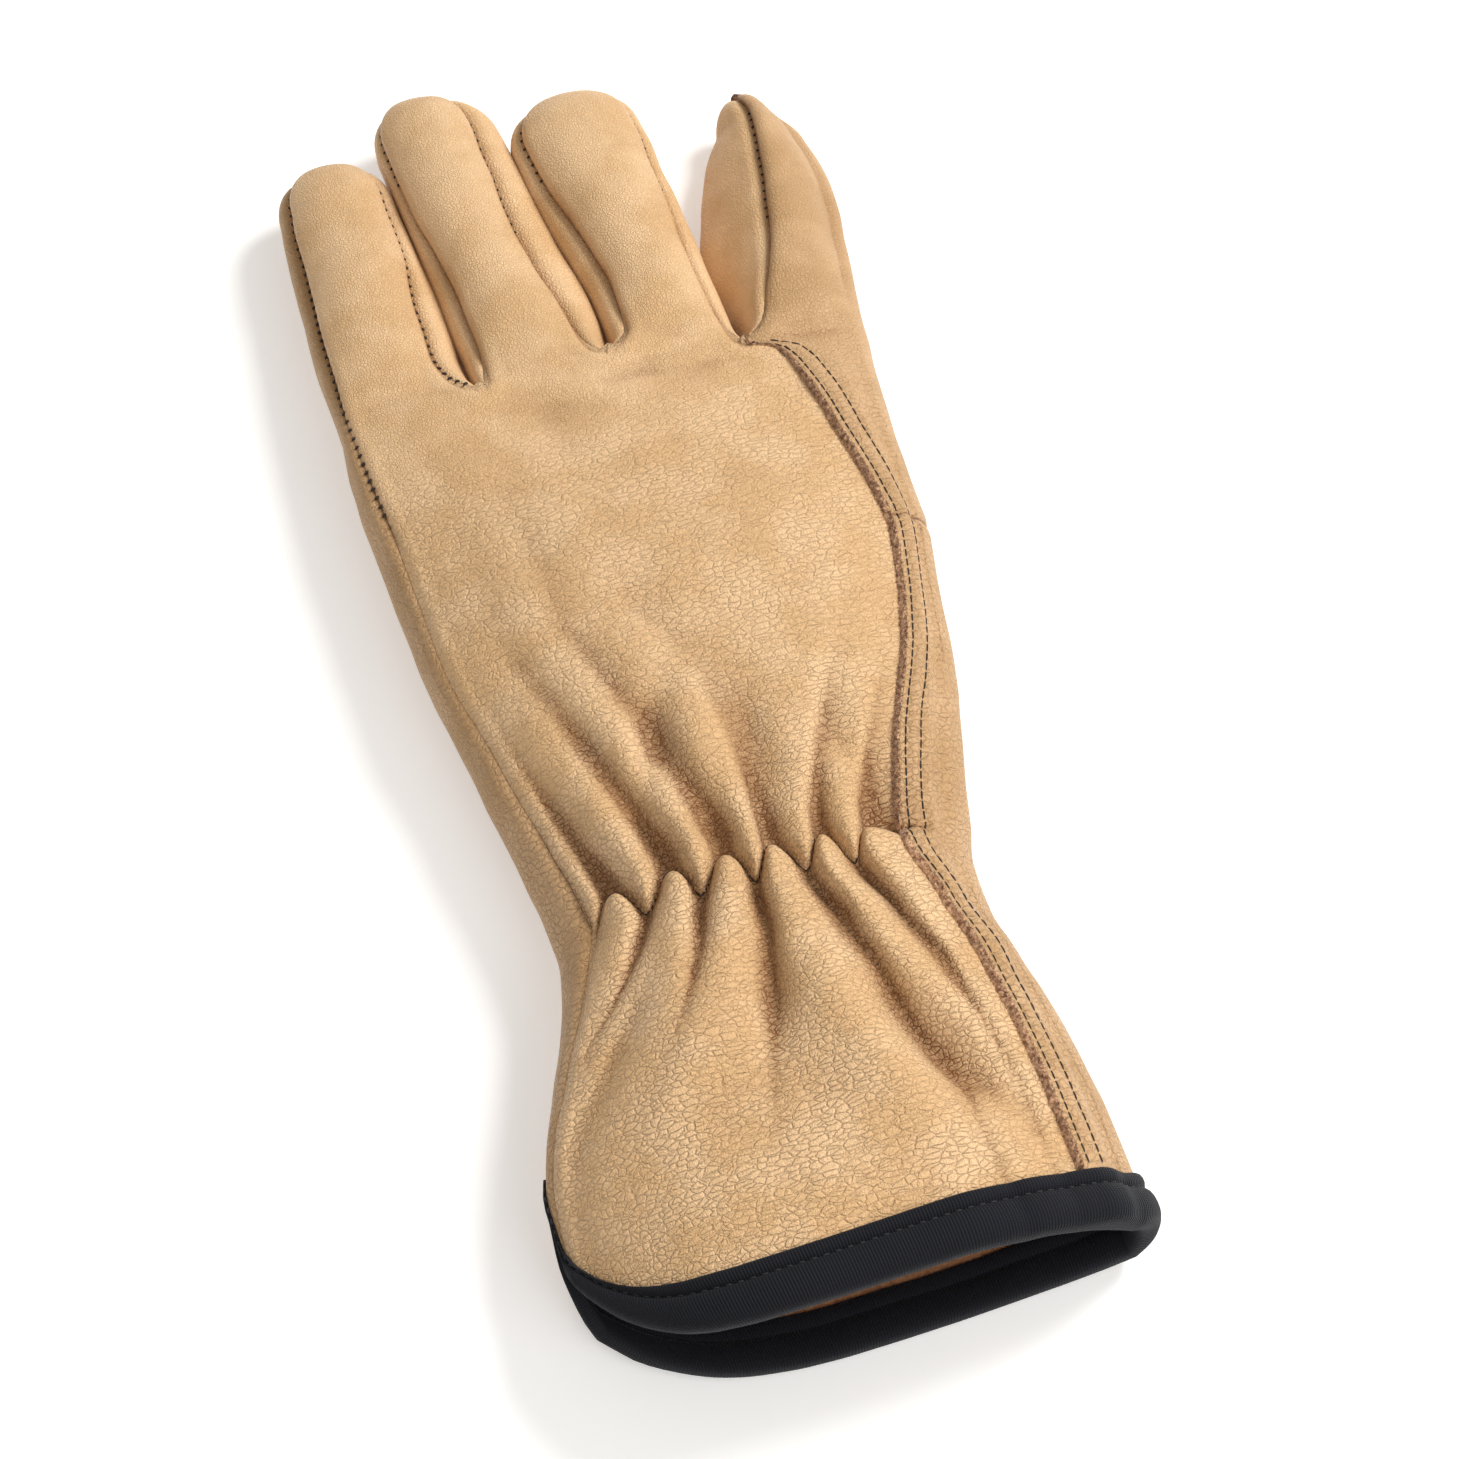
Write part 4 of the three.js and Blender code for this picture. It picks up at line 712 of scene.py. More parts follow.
lift = np.zeros(len(base_points))
past = np.arange(top.shape[1]) / FINE_TOP - lap_column / FINE_TOP
last_place = row_places[-1]
keep = 1 - smooth((row_places - (last_place - 3)) / 3)
share = np.interp(past, LAP_COLUMNS + np.array([-LAP_COLUMNS, 0, 1, 2]), [1, 1, 0.45, 0]) * (past >= 0)
np.maximum.at(lift, top, keep[:, None] * share[None, :] * (LEATHER + SEAM_GAP))

surface = base_points + normals * rise[:, None]
surface_normals = point_normals(surface)

# Painted shade in hollows, from how far a point lies under the mean of its surroundings; darker along the
# seams, and painted shade in the valleys between the puffs
pairs = np.concatenate([quads[:, [0, 1]], quads[:, [1, 2]], quads[:, [2, 3]], quads[:, [3, 0]]])
degree = np.bincount(pairs.reshape(-1), minlength=len(surface))[:, None]


def soften(points, passes):
    """Moves every point to the mean of its neighbours, a number of times."""
    for _ in range(passes):
        total = np.zeros_like(points)
        np.add.at(total, pairs[:, 0], points[pairs[:, 1]])
        np.add.at(total, pairs[:, 1], points[pairs[:, 0]])
        points = total / np.maximum(degree, 1)
    return points


hollow_near = np.sum((soften(surface, 6) - surface) * surface_normals, axis=1)
hollow_wide = np.sum((soften(surface, 50) - surface) * surface_normals, axis=1)
painted_shade_and_seam_dark = np.clip(hollow_near / NEAR_HOLLOW, 0, 1) + np.clip(hollow_wide / WIDE_HOLLOW, 0, 1)
painted_shade_and_seam_dark = HOLLOW_SHADE * painted_shade_and_seam_dark + SEAM_DARK * (1 - 0.8 * rolled) * bump(seam_distance, 0.7)
top_y = base_points[top][..., 1]
top_lap = body_curves(y_share(top_y))["lap"]
group = top_columns[None, :] + 0 * top_y
top_across = np.where(group < 1, group, mix(top_lap, 1, group - 1) / top_lap)
lobe, strength, _ = lobes(top_across, top_y)
valley = np.clip(0.25 - lobe, 0, 1) * strength * smooth((1.1 - top_across) / 0.1) * smooth(top_across / 0.05)
painted_valley_shade = np.zeros(len(surface))
np.maximum.at(painted_valley_shade, top, valley)
painted_shade_and_seam_dark = np.clip(painted_shade_and_seam_dark + VALLEY_SHADE * painted_valley_shade, 0, 1)
# Less of the painted shade on the finger walls, the fourchettes
for name in FINGER_NAMES:
    for side in (1, 3):
        painted_shade_and_seam_dark[fingers[name][side]] *= STRIP_SHADE
# Coarse grain on the cuff and hand, less of it low on the sides
coarse = sum(part * smooth((end - base_points[:, 1]) / over) for part, end, over in COARSE)
coarse = np.where(base_points[:, 2] > 12, coarse, 0.1 + 0.4 * coarse)


def make_object(name, points, faces, materials, face_materials=None, attributes=None, uv=None):
    mesh = bpy.data.meshes.new(name)
    mesh.from_pydata((np.asarray(points) * MM).tolist(), [], [list(f) for f in faces])
    for material in materials:
        mesh.materials.append(material)
    if face_materials is not None:
        mesh.polygons.foreach_set("material_index", np.asarray(face_materials, dtype=np.int32))
    for key, values in (attributes or {}).items():
        layer = mesh.attributes.new(key, "FLOAT", "POINT")
        layer.data.foreach_set("value", np.asarray(values, dtype=np.float32))
    if uv is not None:
        layer = mesh.uv_layers.new(name="cloth")
        layer.data.foreach_set("uv", np.asarray(uv, dtype=np.float32).reshape(-1))
    mesh.polygons.foreach_set("use_smooth", np.ones(len(mesh.polygons), dtype=bool))
    mesh.update()
    obj = bpy.data.objects.new(name, mesh)
    bpy.context.scene.collection.objects.link(obj)
    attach(obj, "root")
    return obj


def clean(face):
    """A cell without the corners that a fingertip or a corner of the grid folds together."""
    kept = [v for i, v in enumerate(face) if v != face[(i + 1) % len(face)]]
    return kept if len(set(kept)) == len(kept) and len(kept) > 2 else None


OUTER, INNER, CUT = 0, 1, 2


def wall(name, cell_list, side_piece, materials, slot):
    """A closed wall of leather over cells of the surface: outer skin, flesh side and cut edge."""
    faces = [f for f in (clean(list(c)) for c in cell_list.tolist()) if f]
    used = np.unique(np.concatenate([np.array(f) for f in faces]))
    place = {v: i for i, v in enumerate(used.tolist())}
    edges = {}
    for f in faces:
        for i, a in enumerate(f):
            edges[(a, f[(i + 1) % len(f)])] = f
    rim = [(a, b) for a, b in edges if (b, a) not in edges]
    inward = np.zeros((len(used), 3))
    for a, b in rim:
        step = unit(np.cross(surface_normals[a], surface[b] - surface[a]))
        inward[place[a]] += step
        inward[place[b]] += step
    points = surface[used] + SHIFT + unit(inward) * SEAM_TRIM
    n = surface_normals[used]
    raised, sunk = (lift[used, None], lap_groove[used, None]) if side_piece else (0, 0)
    outer = points + n * (raised + sunk)
    outer[:, 2] = np.maximum(outer[:, 2], FLOOR_GAP)
    inner = points + n * (raised - LEATHER)
    count = len(used)
    all_faces = [[place[v] for v in f] for f in faces]
    kinds = [OUTER] * len(all_faces) + [INNER] * len(all_faces)
    all_faces += [[v + count for v in reversed(f)] for f in all_faces]
    for a, b in rim:
        i, j = place[a], place[b]
        all_faces.append([j, i, i + count, j + count])
        kinds.append(CUT)
    # The painted shade of hollows and valleys, with the darker seam lines, and the coarseness of the grain go
    # to the mesh as attributes
    tone = {"painted_shade_and_seam_dark": np.tile(painted_shade_and_seam_dark[used], 2), "coarse": np.tile(coarse[used], 2)}
    obj = make_object(name, np.concatenate([outer, inner]), all_faces, materials, kinds, tone)
    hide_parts(name)
    return obj


# Materials


class Look:
    """A material as it is built up: its node tree and its shader."""

    def __init__(self, name, **inputs):
        self.material = bpy.data.materials.new(name)
        self.material.use_nodes = True
        self.tree = self.material.node_tree
        self.tree.nodes.clear()
        out = self.tree.nodes.new("ShaderNodeOutputMaterial")
        self.shader = self.tree.nodes.new("ShaderNodeBsdfPrincipled")
        self.tree.links.new(self.shader.outputs["BSDF"], out.inputs["Surface"])
        self.fill(self.shader, inputs)

    def fill(self, node, inputs):
        """Sets a node's inputs, or links them where the value comes from another node."""
        for key, value in inputs.items():
            socket = node.inputs[key.replace("_", " ") if isinstance(key, str) else key]
            if isinstance(value, bpy.types.NodeSocket):
                self.tree.links.new(value, socket)
            else:
                socket.default_value = (*value, 1) if socket.type == "RGBA" else value

    def add(self, kind, inputs, **settings):
        node = self.tree.nodes.new(kind)
        for key, value in settings.items():
            setattr(node, key, value)
        self.fill(node, inputs)
        return node.outputs

    def math(self, operation, *values, clamp=False):
        return self.add("ShaderNodeMath", dict(enumerate(values)), operation=operation, use_clamp=clamp)[0]

    def times(self, a, b):
        return self.math("MULTIPLY", a, b)

    def plus(self, total, *others, clamp=False):
        for other in others:
            total = self.math("ADD", total, other, clamp=clamp)
        return total

    def vector(self, operation, a, b):
        return self.add("ShaderNodeVectorMath", {0: a, 1: b}, operation=operation)[0]

    def ramp(self, source, low, high, start=0.0, end=1.0):
        inputs = {"Value": source, "From Min": low, "From Max": high, "To Min": start, "To Max": end}
        return self.add("ShaderNodeMapRange", inputs, interpolation_type="SMOOTHSTEP")["Result"]

    def mix(self, factor, a, b):
        return self.add("ShaderNodeMix", {0: factor, 6: a, 7: b}, data_type="RGBA")[2]

    def finish(self, height, strength, distance, **inputs):
        """Bumps the shader by the height, sets its other inputs and gives the material."""
        bumps = {"Height": height, "Strength": strength, "Distance": distance}
        self.fill(self.shader, {"Normal": self.add("ShaderNodeBump", bumps)["Normal"], **inputs})
        return self.material


def leather(name, light, deep, line_and_shade_color, size=1.0):
    """Grained leather: long creases and pebbles where the mesh says it is coarse, fine grain elsewhere."""
    look = Look(name, Specular_IOR_Level=0.35, Sheen_Weight=0.05, Sheen_Roughness=0.5)
    times, plus, ramp = look.times, look.plus, look.ramp
    place = look.add("ShaderNodeTexCoord", {})["Object"]
    shade_and_seam_in = look.add("ShaderNodeAttribute", {}, attribute_name="painted_shade_and_seam_dark")["Fac"]
    coarse_in = look.add("ShaderNodeAttribute", {}, attribute_name="coarse")["Fac"]

    def noise_at(scale, detail=2.0):
        return look.add("ShaderNodeTexNoise", {"Vector": place, "Scale": scale, "Detail": detail})

    def pushed(vector, scale, by):
        push = look.vector("SUBTRACT", noise_at(scale, 1.0)["Color"], (0.5, 0.5, 0.5))
        return look.vector("ADD", vector, look.vector("MULTIPLY", push, (by, by, by)))

    def cracks(vector, scale, *widths):
        """Lines on the borders of cells, in one or more widths."""
        inputs = {"Vector": vector, "Scale": scale * size}
        edge = look.add("ShaderNodeTexVoronoi", inputs, feature="DISTANCE_TO_EDGE")["Distance"]
        return [ramp(edge, 0.0, width, 1.0, 0.0) for width in widths]

    wide = look.vector("MULTIPLY", place, (0.46, 1.0, 1.0))
    bent = pushed(pushed(wide, 240.0, 0.0011), 900.0, 0.0003)
    dome, pebble, pebble_line = cracks(bent, PEBBLE_SCALE, 0.42, 0.14, 0.07)
    fold = cracks(look.vector("MULTIPLY", bent, (0.8, 1.0, 1.0)), FOLD_SCALE, 0.07)[0]
    small = cracks(pushed(place, 900.0, 0.0003), SMALL_SCALE, 0.25)[0]
    pores = ramp(noise_at(PORE_SCALE, 1.0)["Fac"], 0.56, 0.7)
    fibre = noise_at(FIBRE_SCALE)["Fac"]
    patchy = noise_at(PATCH_SCALE, 3.0)["Fac"]

    # Each layer shows where the leather is coarse or fine, and more in some patches
    big = times(coarse_in, ramp(patchy, 0.3, 0.6, 0.6, 1.0))
    fold = times(fold, times(plus(times(coarse_in, 0.8), 0.2), ramp(patchy, 0.62, 0.4, 0.3, 1.0)))
    small = times(small, look.math("SUBTRACT", 1.0, times(coarse_in, 0.4)))
    pebbles = times(plus(times(pebble, PEBBLE_DEPTH), times(dome, DOME_DEPTH)), times(big, -1.0))
    height = plus(pebbles, times(fold, -FOLD_DEPTH), times(small, -SMALL_DEPTH),
                  times(fibre, FIBRE_HEIGHT), times(pores, -PORE_DEPTH))
    tone = look.mix(ramp(patchy, 0.36, 0.62), deep, light)
    lines = plus(times(times(pebble_line, big), PEBBLE_DARK), times(fold, FOLD_DARK),
                 times(small, SMALL_DARK), times(pores, PORE_DARK))
    # Painted shade: the grain lines and the colour darken in hollows and valleys, and along the seams
    lines = times(lines, plus(times(shade_and_seam_in, 1.3), 1.0))
    dark = plus(lines, times(shade_and_seam_in, 0.6), clamp=True)
    return look.finish(height, 1.0, GRAIN_DEPTH, Base_Color=look.mix(dark, tone, line_and_shade_color),
                       Roughness=plus(times(fibre, 0.16), 0.44))


def napped(name, light, deep, scale, rough=0.95, strength=0.9, sheen=0.25):
    """Suede, raw edge or thread, by how fine its nap is."""
    look = Look(name, Roughness=rough, Sheen_Weight=sheen)
    place = look.add("ShaderNodeTexCoord", {})["Object"]
    inputs = {"Vector": place, "Scale": scale, "Detail": 6.0, "Roughness": 0.7}
    nap = look.add("ShaderNodeTexNoise", inputs)["Fac"]
    return look.finish(nap, strength, 0.0005, Base_Color=look.mix(look.ramp(nap, 0.36, 0.64), deep, light))


def knit(name, light, deep):
    """Fine ribs across the binding; the cloth map runs along the rim and across it in metres."""
    look = Look(name, Roughness=0.8, Specular_IOR_Level=0.2, Sheen_Weight=0.07, Sheen_Roughness=0.4)
    uv = look.add("ShaderNodeUVMap", {}, uv_map="cloth")["UV"]
    split = look.add("ShaderNodeSeparateXYZ", {0: uv})
    wobble = look.add("ShaderNodeTexNoise", {"Vector": uv, "Scale": 300.0})["Fac"]
    along = look.plus(split[0], look.times(wobble, 0.00012))
    rib = look.math("SINE", look.times(along, 2 * math.pi / RIB_PITCH))
    loop = look.math("SINE", look.times(split[1], 2 * math.pi / LOOP_PITCH))
    weave = look.plus(rib, look.times(loop, 0.35))
    return look.finish(weave, 0.6, 0.00009, Base_Color=look.mix(look.ramp(weave, -1.2, 1.3), deep, light))


# Dark brown of the grain lines, also the colour of the painted shade in hollows and valleys
grain_and_shade_brown = (0.22, 0.085, 0.022)
back_leather = leather("back_leather", (0.82, 0.55, 0.305), (0.72, 0.455, 0.225), grain_and_shade_brown)
side_leather = leather("side_leather", (0.59, 0.37, 0.187), (0.5, 0.3, 0.135), grain_and_shade_brown, 0.85)
# A lighter copy of the leather for the fourchettes: painted light where they lie in the fingers' shade
painted_lit_strip_leather = leather("painted_lit_strip_leather", (0.85, 0.575, 0.32), (0.75, 0.48, 0.24), grain_and_shade_brown, 0.85)
suede = napped("flesh_side", (0.42, 0.2, 0.09), (0.28, 0.12, 0.05), 900.0)
raw = napped("raw_edge", (0.8, 0.5, 0.29), (0.26, 0.1, 0.042), 1100.0)
binding_knit = knit("binding_knit", (0.011, 0.012, 0.018), (0.003, 0.0035, 0.006))
binding_thread = napped("binding_thread", (0.02, 0.02, 0.026), (0.006, 0.006, 0.009), 4000.0, 0.6, 0.4, 0.1)
thread = napped("thread", (0.04, 0.02, 0.012), (0.014, 0.008, 0.005), 4000.0, 0.7, 0.4, 0.02)

# The leather pieces
skins = {
    "back_panel": (back_leather, "back_leather"),
    "palm_panel": (side_leather, "side_leather"),
    "index_wrap": (side_leather, "side_leather"),
    # Fourchettes in the lighter leather, painted light
    "fourchette_pinky_ring": (painted_lit_strip_leather, "side_leather"),
    "fourchette_ring_middle": (painted_lit_strip_leather, "side_leather"),
    "fourchette_middle_index": (painted_lit_strip_leather, "side_leather"),
    "thumb": (side_leather, "side_leather"),
}
lap_end = lap_column + LAP_COLUMNS * FINE_TOP + 1
under_lap = top[: row_starts[int(last_place) - 3] + 1, lap_column:lap_end]
for name, (material, slot) in skins.items():
    own = quads[owners == name]
    if name == "back_panel":
        own = np.concatenate([own, grid_cells(under_lap)])
    wall(name, own, name in ("palm_panel", "index_wrap"), [material, suede, raw], slot)


# Threads


def sample(at, run, values):
    return np.stack([np.interp(at, run, column) for column in values.T], axis=-1)


def resample(points, directions, pitch, start=0.0, end=0.0):
    """Places a pitch apart on a line, with the surface's direction and the line's own."""
    run = lengths(points)
    at = start + np.arange(max(2, int((run[-1] - start - end) / pitch) + 1)) * pitch
    at = at[at <= run[-1] - end]
    along = sample(at + 0.4, run, points) - sample(at - 0.4, run, points)
    return sample(at, run, points), unit(sample(at, run, directions)), unit(along)


def rod(points, faces, centers, side, over, radius, sides):
    """Adds a round thread along its centers; side and over span its section."""
    turn = 2 * np.pi * np.arange(sides)[:, None] / sides
    ring = np.cos(turn) * side[:, None] + np.sin(turn) * over[:, None]
    start, last = len(points), len(points) + (len(centers) - 1) * sides
    points.extend((centers[:, None] + ring * radius[:, None]).reshape(-1, 3))
    for at in range(start, last, sides):
        for k in range(sides):
            a, b = at + k, at + (k + 1) % sides
            faces.append([a, a + sides, b + sides, b])
    faces.append(list(range(start, start + sides)))
    faces.append(list(range(last, last + sides))[::-1])


def stitches(name, spots, length, radius, turn=0.0, proud=0.12, dip=0.5, material=thread):
    """Short threads on the surface, bent down into their holes at both ends."""
    u = np.linspace(-1, 1, STITCH_STEPS)[:, None]
    points, faces = [], []
    for p, n, along in zip(*spots):
        ahead = math.cos(turn) * along + math.sin(turn) * np.cross(n, along)
        ahead = unit(ahead - n * np.dot(ahead, n))
        centers = p + ahead * u * length / 2 + n * (proud - dip * u**4)
        rod(points, faces, centers, np.cross(n, ahead)[None], n[None], radius * (1 - 0.35 * u**4), 6)
    obj = make_object(name, points, faces, [material])


def seam_path(name, raise_by):
    """The points of a seam, raised from the surface, and the surface's directions."""
    s = seams[name]
    return surface[s] + SHIFT + surface_normals[s] * raise_by, surface_normals[s]


def lap_path(distance, first_row):
    """A line on the side pieces, a distance in from the lap's edge."""
    points, ups = [], []
    for ids, run in zip(top[first_row:, lap_column:], lap_across[first_row:]):
        at = min(distance, run[-1] * 0.98)
        raised = surface[ids] + surface_normals[ids] * (lift[ids] + lap_groove[ids])[:, None]
        points.append(sample(at, run, raised))
        ups.append(sample(at, run, surface_normals[ids]))
    return np.array(points) + SHIFT, np.array(ups)


left_points = base_points[seams["left"]]
hidden_run = np.interp(STITCHED_DOWN_TO, left_points[:, 1], lengths(left_points))
# seam, gap before the first stitch and after the last, length, thickness, turn
LADDER = [
    ("left", hidden_run, 10.0, 1.25, 0.34, math.pi / 2),
    ("pinky_right", 4.0, 9.0, 1.15, 0.25, math.pi / 2.4),
    ("ring_right", 44.0, 9.0, 1.15, 0.25, math.pi / 2.4),
    ("ring_left", 64.0, 9.0, 1.1, 0.24, math.pi / 2.4),
    ("middle_left", 56.0, 9.0, 1.1, 0.24, math.pi / 2.4),
    ("middle_right", 50.0, 9.0, 1.0, 0.2, math.pi / 2.4),
    ("index_left", 36.0, 9.0, 1.1, 0.22, math.pi / 2.4),
]
for name, start, end, length, thick, turn in LADDER:
    spots = resample(*seam_path(name, 0.34), STITCH_PITCH, start, end)
    stitches("stitches_" + name, spots, length, thick, turn, 0.02, 0.3)
for i, distance in enumerate(LAP_STITCHES):
    spots = resample(*lap_path(distance, binding_row + 2), LAP_PITCH, 0.5, 1.0)
    stitches("stitches_lap_%d" % (i + 1), spots, 2.1, 0.19, 0.0, 0.08, 0.22)

# The thread line of the gathered wrist
share = np.linspace(0.03, 0.985, 420)
y = gather_line(share, pleat_off(share, np.zeros_like(share))[0])
s = body_section(y)
x, z = section_point(s, 0, share * s["lap"])
path = np.stack([x, y, z + relief(share, y)], axis=-1)
path[:, 2] += unevenness(path) + 0.1
path += SHIFT
ahead = unit(np.gradient(path, axis=0))
side = unit(np.cross((0.0, 0.0, 1.0), ahead))
points, faces = [], []
rod(points, faces, path, side, np.cross(ahead, side), np.full((len(path), 1), 0.2), 8)
gather = make_object("gather_thread", points, faces, [thread])

# The raw edge of the lap: a napped strip from the back's surface up over the cut edge
STRIP = list(zip(*table("across height", """
    -0.8 -0.15, -0.74 0.35, -0.6 0.8, -0.4 1.15, -0.2 1.4, -0.02 1.55, 0.1 1.55, 0.16 1.35
""").values()))
FIBRES, STRIP_JITTER, STRIP_THICKNESS = 2600, 0.17, 0.5
rng = np.random.default_rng(5)
edge_ids = top[:, lap_column]
edge_across = unit(surface[top[:, lap_column + 2]] - surface[top[:, lap_column - 2]])
edge_raised = lift[edge_ids] / (LEATHER + SEAM_GAP)
edge_values = (surface[edge_ids], surface_normals[edge_ids], edge_across, edge_raised)
strip_rows = [[mix(v[j], v[j + 1], f) for v in edge_values]
              for j in range(binding_row + 1, last_row) for f in (0.0, 0.5)]


def on_strip(row, place, aside=0.0, above=0.0):
    """A place on the strip, which is narrower and flatter where the side leather isn't raised."""
    center, up, across_dir, raised = row
    u, h = place
    return center + across_dir * (u * mix(0.55, 1, raised) + aside) + up * (h * mix(0.25, 1, raised) + above)


points = []
for row in strip_rows:
    jitter = rng.normal(0, STRIP_JITTER, (len(STRIP), 2))
    points += [on_strip(row, place, *by) for place, by in zip(STRIP, jitter)]
count = len(points)
points += [p - strip_rows[i // len(STRIP)][1] * STRIP_THICKNESS for i, p in enumerate(points)]
n = np.arange(count).reshape(-1, len(STRIP))
faces = grid_cells(n).tolist() + (grid_cells(n)[:, ::-1] + count).tolist()
border = np.concatenate([n[0], n[1:, -1], n[-1, -2::-1], n[-2::-1, 0]]).tolist()
faces += [[b, a, a + count, b + count] for a, b in zip(border[:-1], border[1:])]
edge = make_object("raw_edge", np.array(points) + SHIFT, faces, [raw])

# Loose fibres on the raw edge
points, faces = [], []
turns = 2 * math.pi * np.arange(3)[:, None] / 3
for _ in range(FIBRES):
    row = strip_rows[rng.integers(0, len(strip_rows))]
    root = on_strip(row, STRIP[rng.integers(0, len(STRIP) - 1)], rng.normal(0, 0.15))
    up, across_dir = row[1:3]
    out = up * rng.uniform(0.2, 1) + across_dir * rng.normal(-0.2, 0.6)
    out = unit(out + np.cross(up, across_dir) * rng.normal(0, 0.7))
    size = rng.uniform(0.35, 0.8)
    side = unit(np.cross(out, up + 0.01))
    round_it = np.cos(turns) * side + np.sin(turns) * np.cross(out, side)
    start = len(points)
    for f, wide in ((0.0, 0.07), (0.6, 0.05)):
        points.extend(root + out * size * f + round_it * wide)
    points.append(root + out * size)
    for a in range(start, start + 3):
        b = a + 1 if a < start + 2 else start
        faces += [[a, b, b + 3, a + 3], [a + 3, b + 3, start + 6]]
    faces.append([start + 2, start + 1, start])
fibres = make_object("raw_edge_fibres", np.array(points) + SHIFT, faces, [raw])

# The binding: a knitted tape folded over the rim, with a roll at the rim and a stitched groove above it
TAPE_OUTSIDE = table("up height", """
    9.9 0.05, 9.9 0.6, 9.5 1, 8.8 1.25, 8 1.25, 7.3 1, 6.9 0.6, 6.75 0.5, 6.6 0.65, 6.3 1.2, 5.6 1.75,
    4.6 2.1, 3.4 2.3, 2.2 2.35, 1.1 2.2, 0.1 1.85, -0.7 1.3, -1.2 0.5, -1.35 -0.5
""")
TAPE_INSIDE = table("up height", """
    -1.35 0, -1.15 0.8, -0.6 1.35, 0.4 1.7, 1.8 1.8, 3.4 1.7, 4.6 1.3, 5.2 0.8, 5.5 0.55, 5.8 0.8, 6.4 1,
    7.4 1, 8.6 0.8, 9.2 0.4, 9.2 0.05
""")
GROOVE_RING, GROOVE_UP, LOOP_PASSES = 7, 6.8, 24
VENT_START, VENT_LENGTH, VENT_THIN, VENT_NARROW = 10.0, 24.0, 0.8, 0.5
loops = np.concatenate([g[: binding_row + 1, :-1] for g in (top, wall_right, palm, wall_left)], axis=1)
loop_points = surface[loops]
loop_normals = surface_normals[loops]
loop_lift = lift[loops][..., None]
for _ in range(LOOP_PASSES):
    loop_normals, loop_lift = [
        (np.roll(v, 1, axis=1) + 2 * v + np.roll(v, -1, axis=1)) / 4 for v in (loop_normals, loop_lift)
    ]
loop_normals = unit(loop_normals)
from_rim = np.stack([lengths(loop_points[:, c]) for c in range(loops.shape[1])], axis=1)


def at_distance(values, distance):
    """Values of the loop's rows at a distance up from the rim, which may differ round the loop."""
    distance = distance * np.ones(values.shape[1])
    return np.array([sample(d, from_rim[:, c], values[:, c]) for c, d in enumerate(distance)])


def closed(values):
    return np.concatenate([values, values[:1]])


beyond = unit(loop_points[0] - at_distance(loop_points, 2.5))
vent = smooth((loop_points[0][:, 1] - rim_row - VENT_START) / VENT_LENGTH)
thin, narrow = (1 - VENT_THIN * vent)[:, None], 1 - VENT_NARROW * vent
rings = []
for profile, outside in ((TAPE_OUTSIDE, True), (TAPE_INSIDE, False)):
    for v, h in zip(profile["up"], profile["height"]):
        up = max(v, 0) * narrow
        over = BINDING_GAP * 0.3 + h * thin
        lift_by = at_distance(loop_lift, up) + over if outside else -(LEATHER + over)
        center = at_distance(loop_points, up) + beyond * max(-v, 0) * thin
        rings.append(center + at_distance(loop_normals, up) * lift_by)
rings = np.array(rings) + SHIFT
rings[..., 2] = np.maximum(rings[..., 2], 0.05)
sections, around = rings.shape[:2]
around_run = lengths(closed(loop_points[0]))
across_run = lengths(rings[:, around // 4])
across_run = np.append(across_run, across_run[-1] + 1.0)
faces, uv = [], []
for k in range(sections):
    for c in range(around):
        k2, c2 = (k + 1) % sections, (c + 1) % around
        faces.append([k * around + c, k * around + c2, k2 * around + c2, k2 * around + c])
        uv += [(around_run[i], across_run[j]) for i, j in ((c, k), (c + 1, k), (c + 1, k + 1), (c, k + 1))]
binding = make_object("binding", rings.reshape(-1, 3), faces, [binding_knit], uv=np.array(uv) * MM)
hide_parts("cuff_binding")
groove_ups = closed(at_distance(loop_normals, GROOVE_UP))
spots = resample(closed(rings[GROOVE_RING]), groove_ups, BINDING_PITCH, 0.5, 1.0)
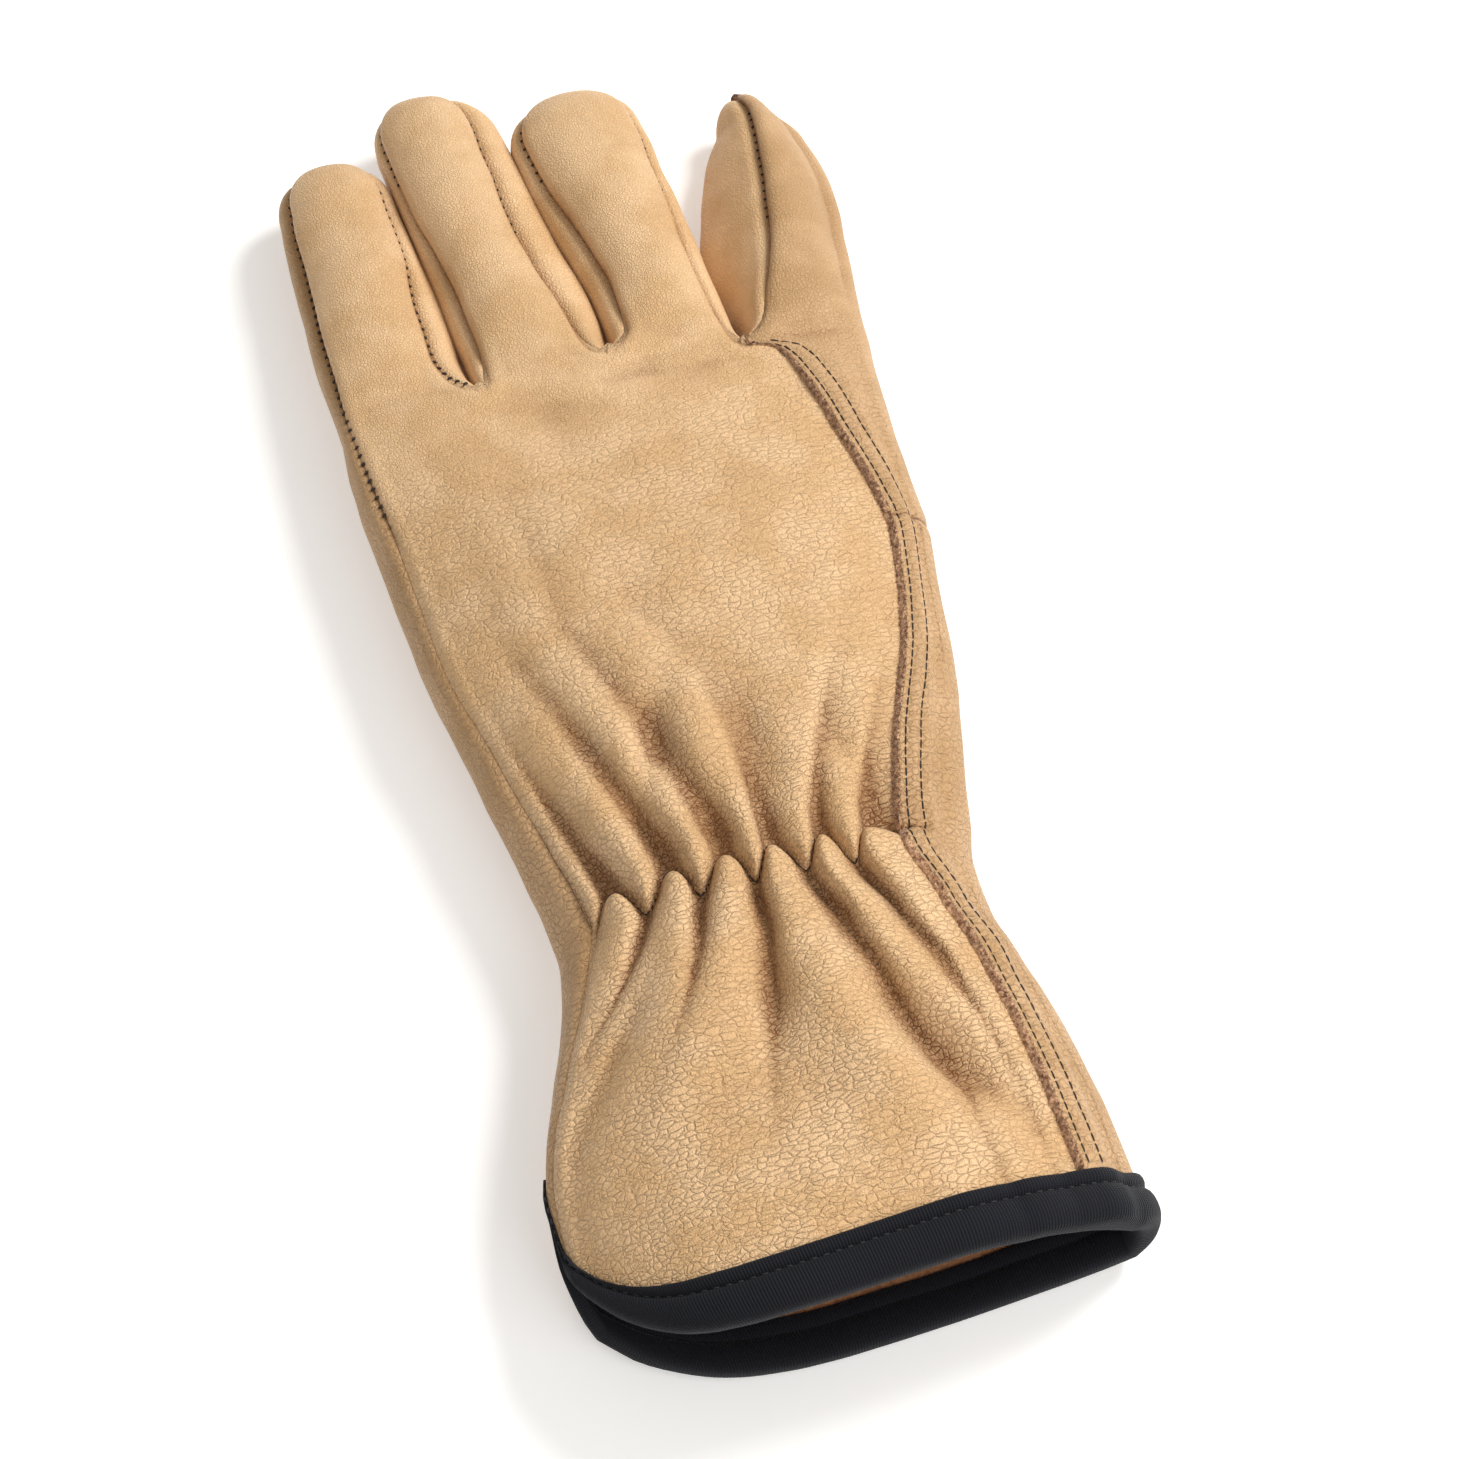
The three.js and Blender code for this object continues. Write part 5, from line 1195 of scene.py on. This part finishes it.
stitches("stitches_binding", spots, 1.3, 0.18, 0.0, 0.12, 0.2, binding_thread)

# Floor, light and camera
mesh = bpy.data.meshes.new("floor")
mesh.from_pydata([(-4, -4, 0), (4, -4, 0), (4, 4, 0), (-4, 4, 0)], [], [(0, 1, 2, 3)])
floor = bpy.data.objects.new("floor", mesh)
white = {"Base_Color": (0.9, 0.9, 0.9), "Emission_Color": (1, 1, 1)}
mesh.materials.append(Look("floor", **white, Roughness=0.9, Emission_Strength=0.34).material)
bpy.context.scene.collection.objects.link(floor)


def aimed(name, data, azimuth, elevation, distance):
    """Puts a light or camera round the glove, turned to it."""
    a, e = math.radians(azimuth), math.radians(elevation)
    back = Vector((math.sin(a) * math.cos(e), -math.cos(a) * math.cos(e), math.sin(e)))
    obj = bpy.data.objects.new(name, data)
    obj.location = Vector(AIM) * MM + back * distance
    obj.rotation_euler = back.to_track_quat("Z", "Y").to_euler()
    bpy.context.scene.collection.objects.link(obj)
    return obj


# name, azimuth, elevation, distance, size, power, color
LIGHTS = [
    ("key", 108, 45, 1.3, 0.5, 15.3, (1, 0.99, 0.97)),
    ("front", 15, 38, 0.5, 0.35, 0.72, (1, 0.97, 0.93)),
    ("fill", -30, 60, 1.6, 1.4, 1.5, (1, 0.9, 0.78)),
]
for name, azimuth, elevation, distance, size, power, color in LIGHTS:
    data = bpy.data.lights.new(name, "AREA")
    data.shape = "DISK"
    data.size = size
    data.energy = power
    data.color = color
    aimed(name, data, azimuth, elevation, distance)
world = bpy.data.worlds.new("studio")
world.use_nodes = True
world.node_tree.nodes["Background"].inputs["Color"].default_value = (1, 0.98, 0.95, 1)
world.node_tree.nodes["Background"].inputs["Strength"].default_value = 0.4
bpy.context.scene.world = world

camera_data = bpy.data.cameras.new("camera")
camera_data.lens = LENS
camera_data.sensor_width = 36
camera_data.clip_end = 20
bpy.context.scene.camera = aimed("camera", camera_data, AZIMUTH, ELEVATION, DISTANCE * MM)
bpy.context.scene.view_settings.view_transform = "Standard"
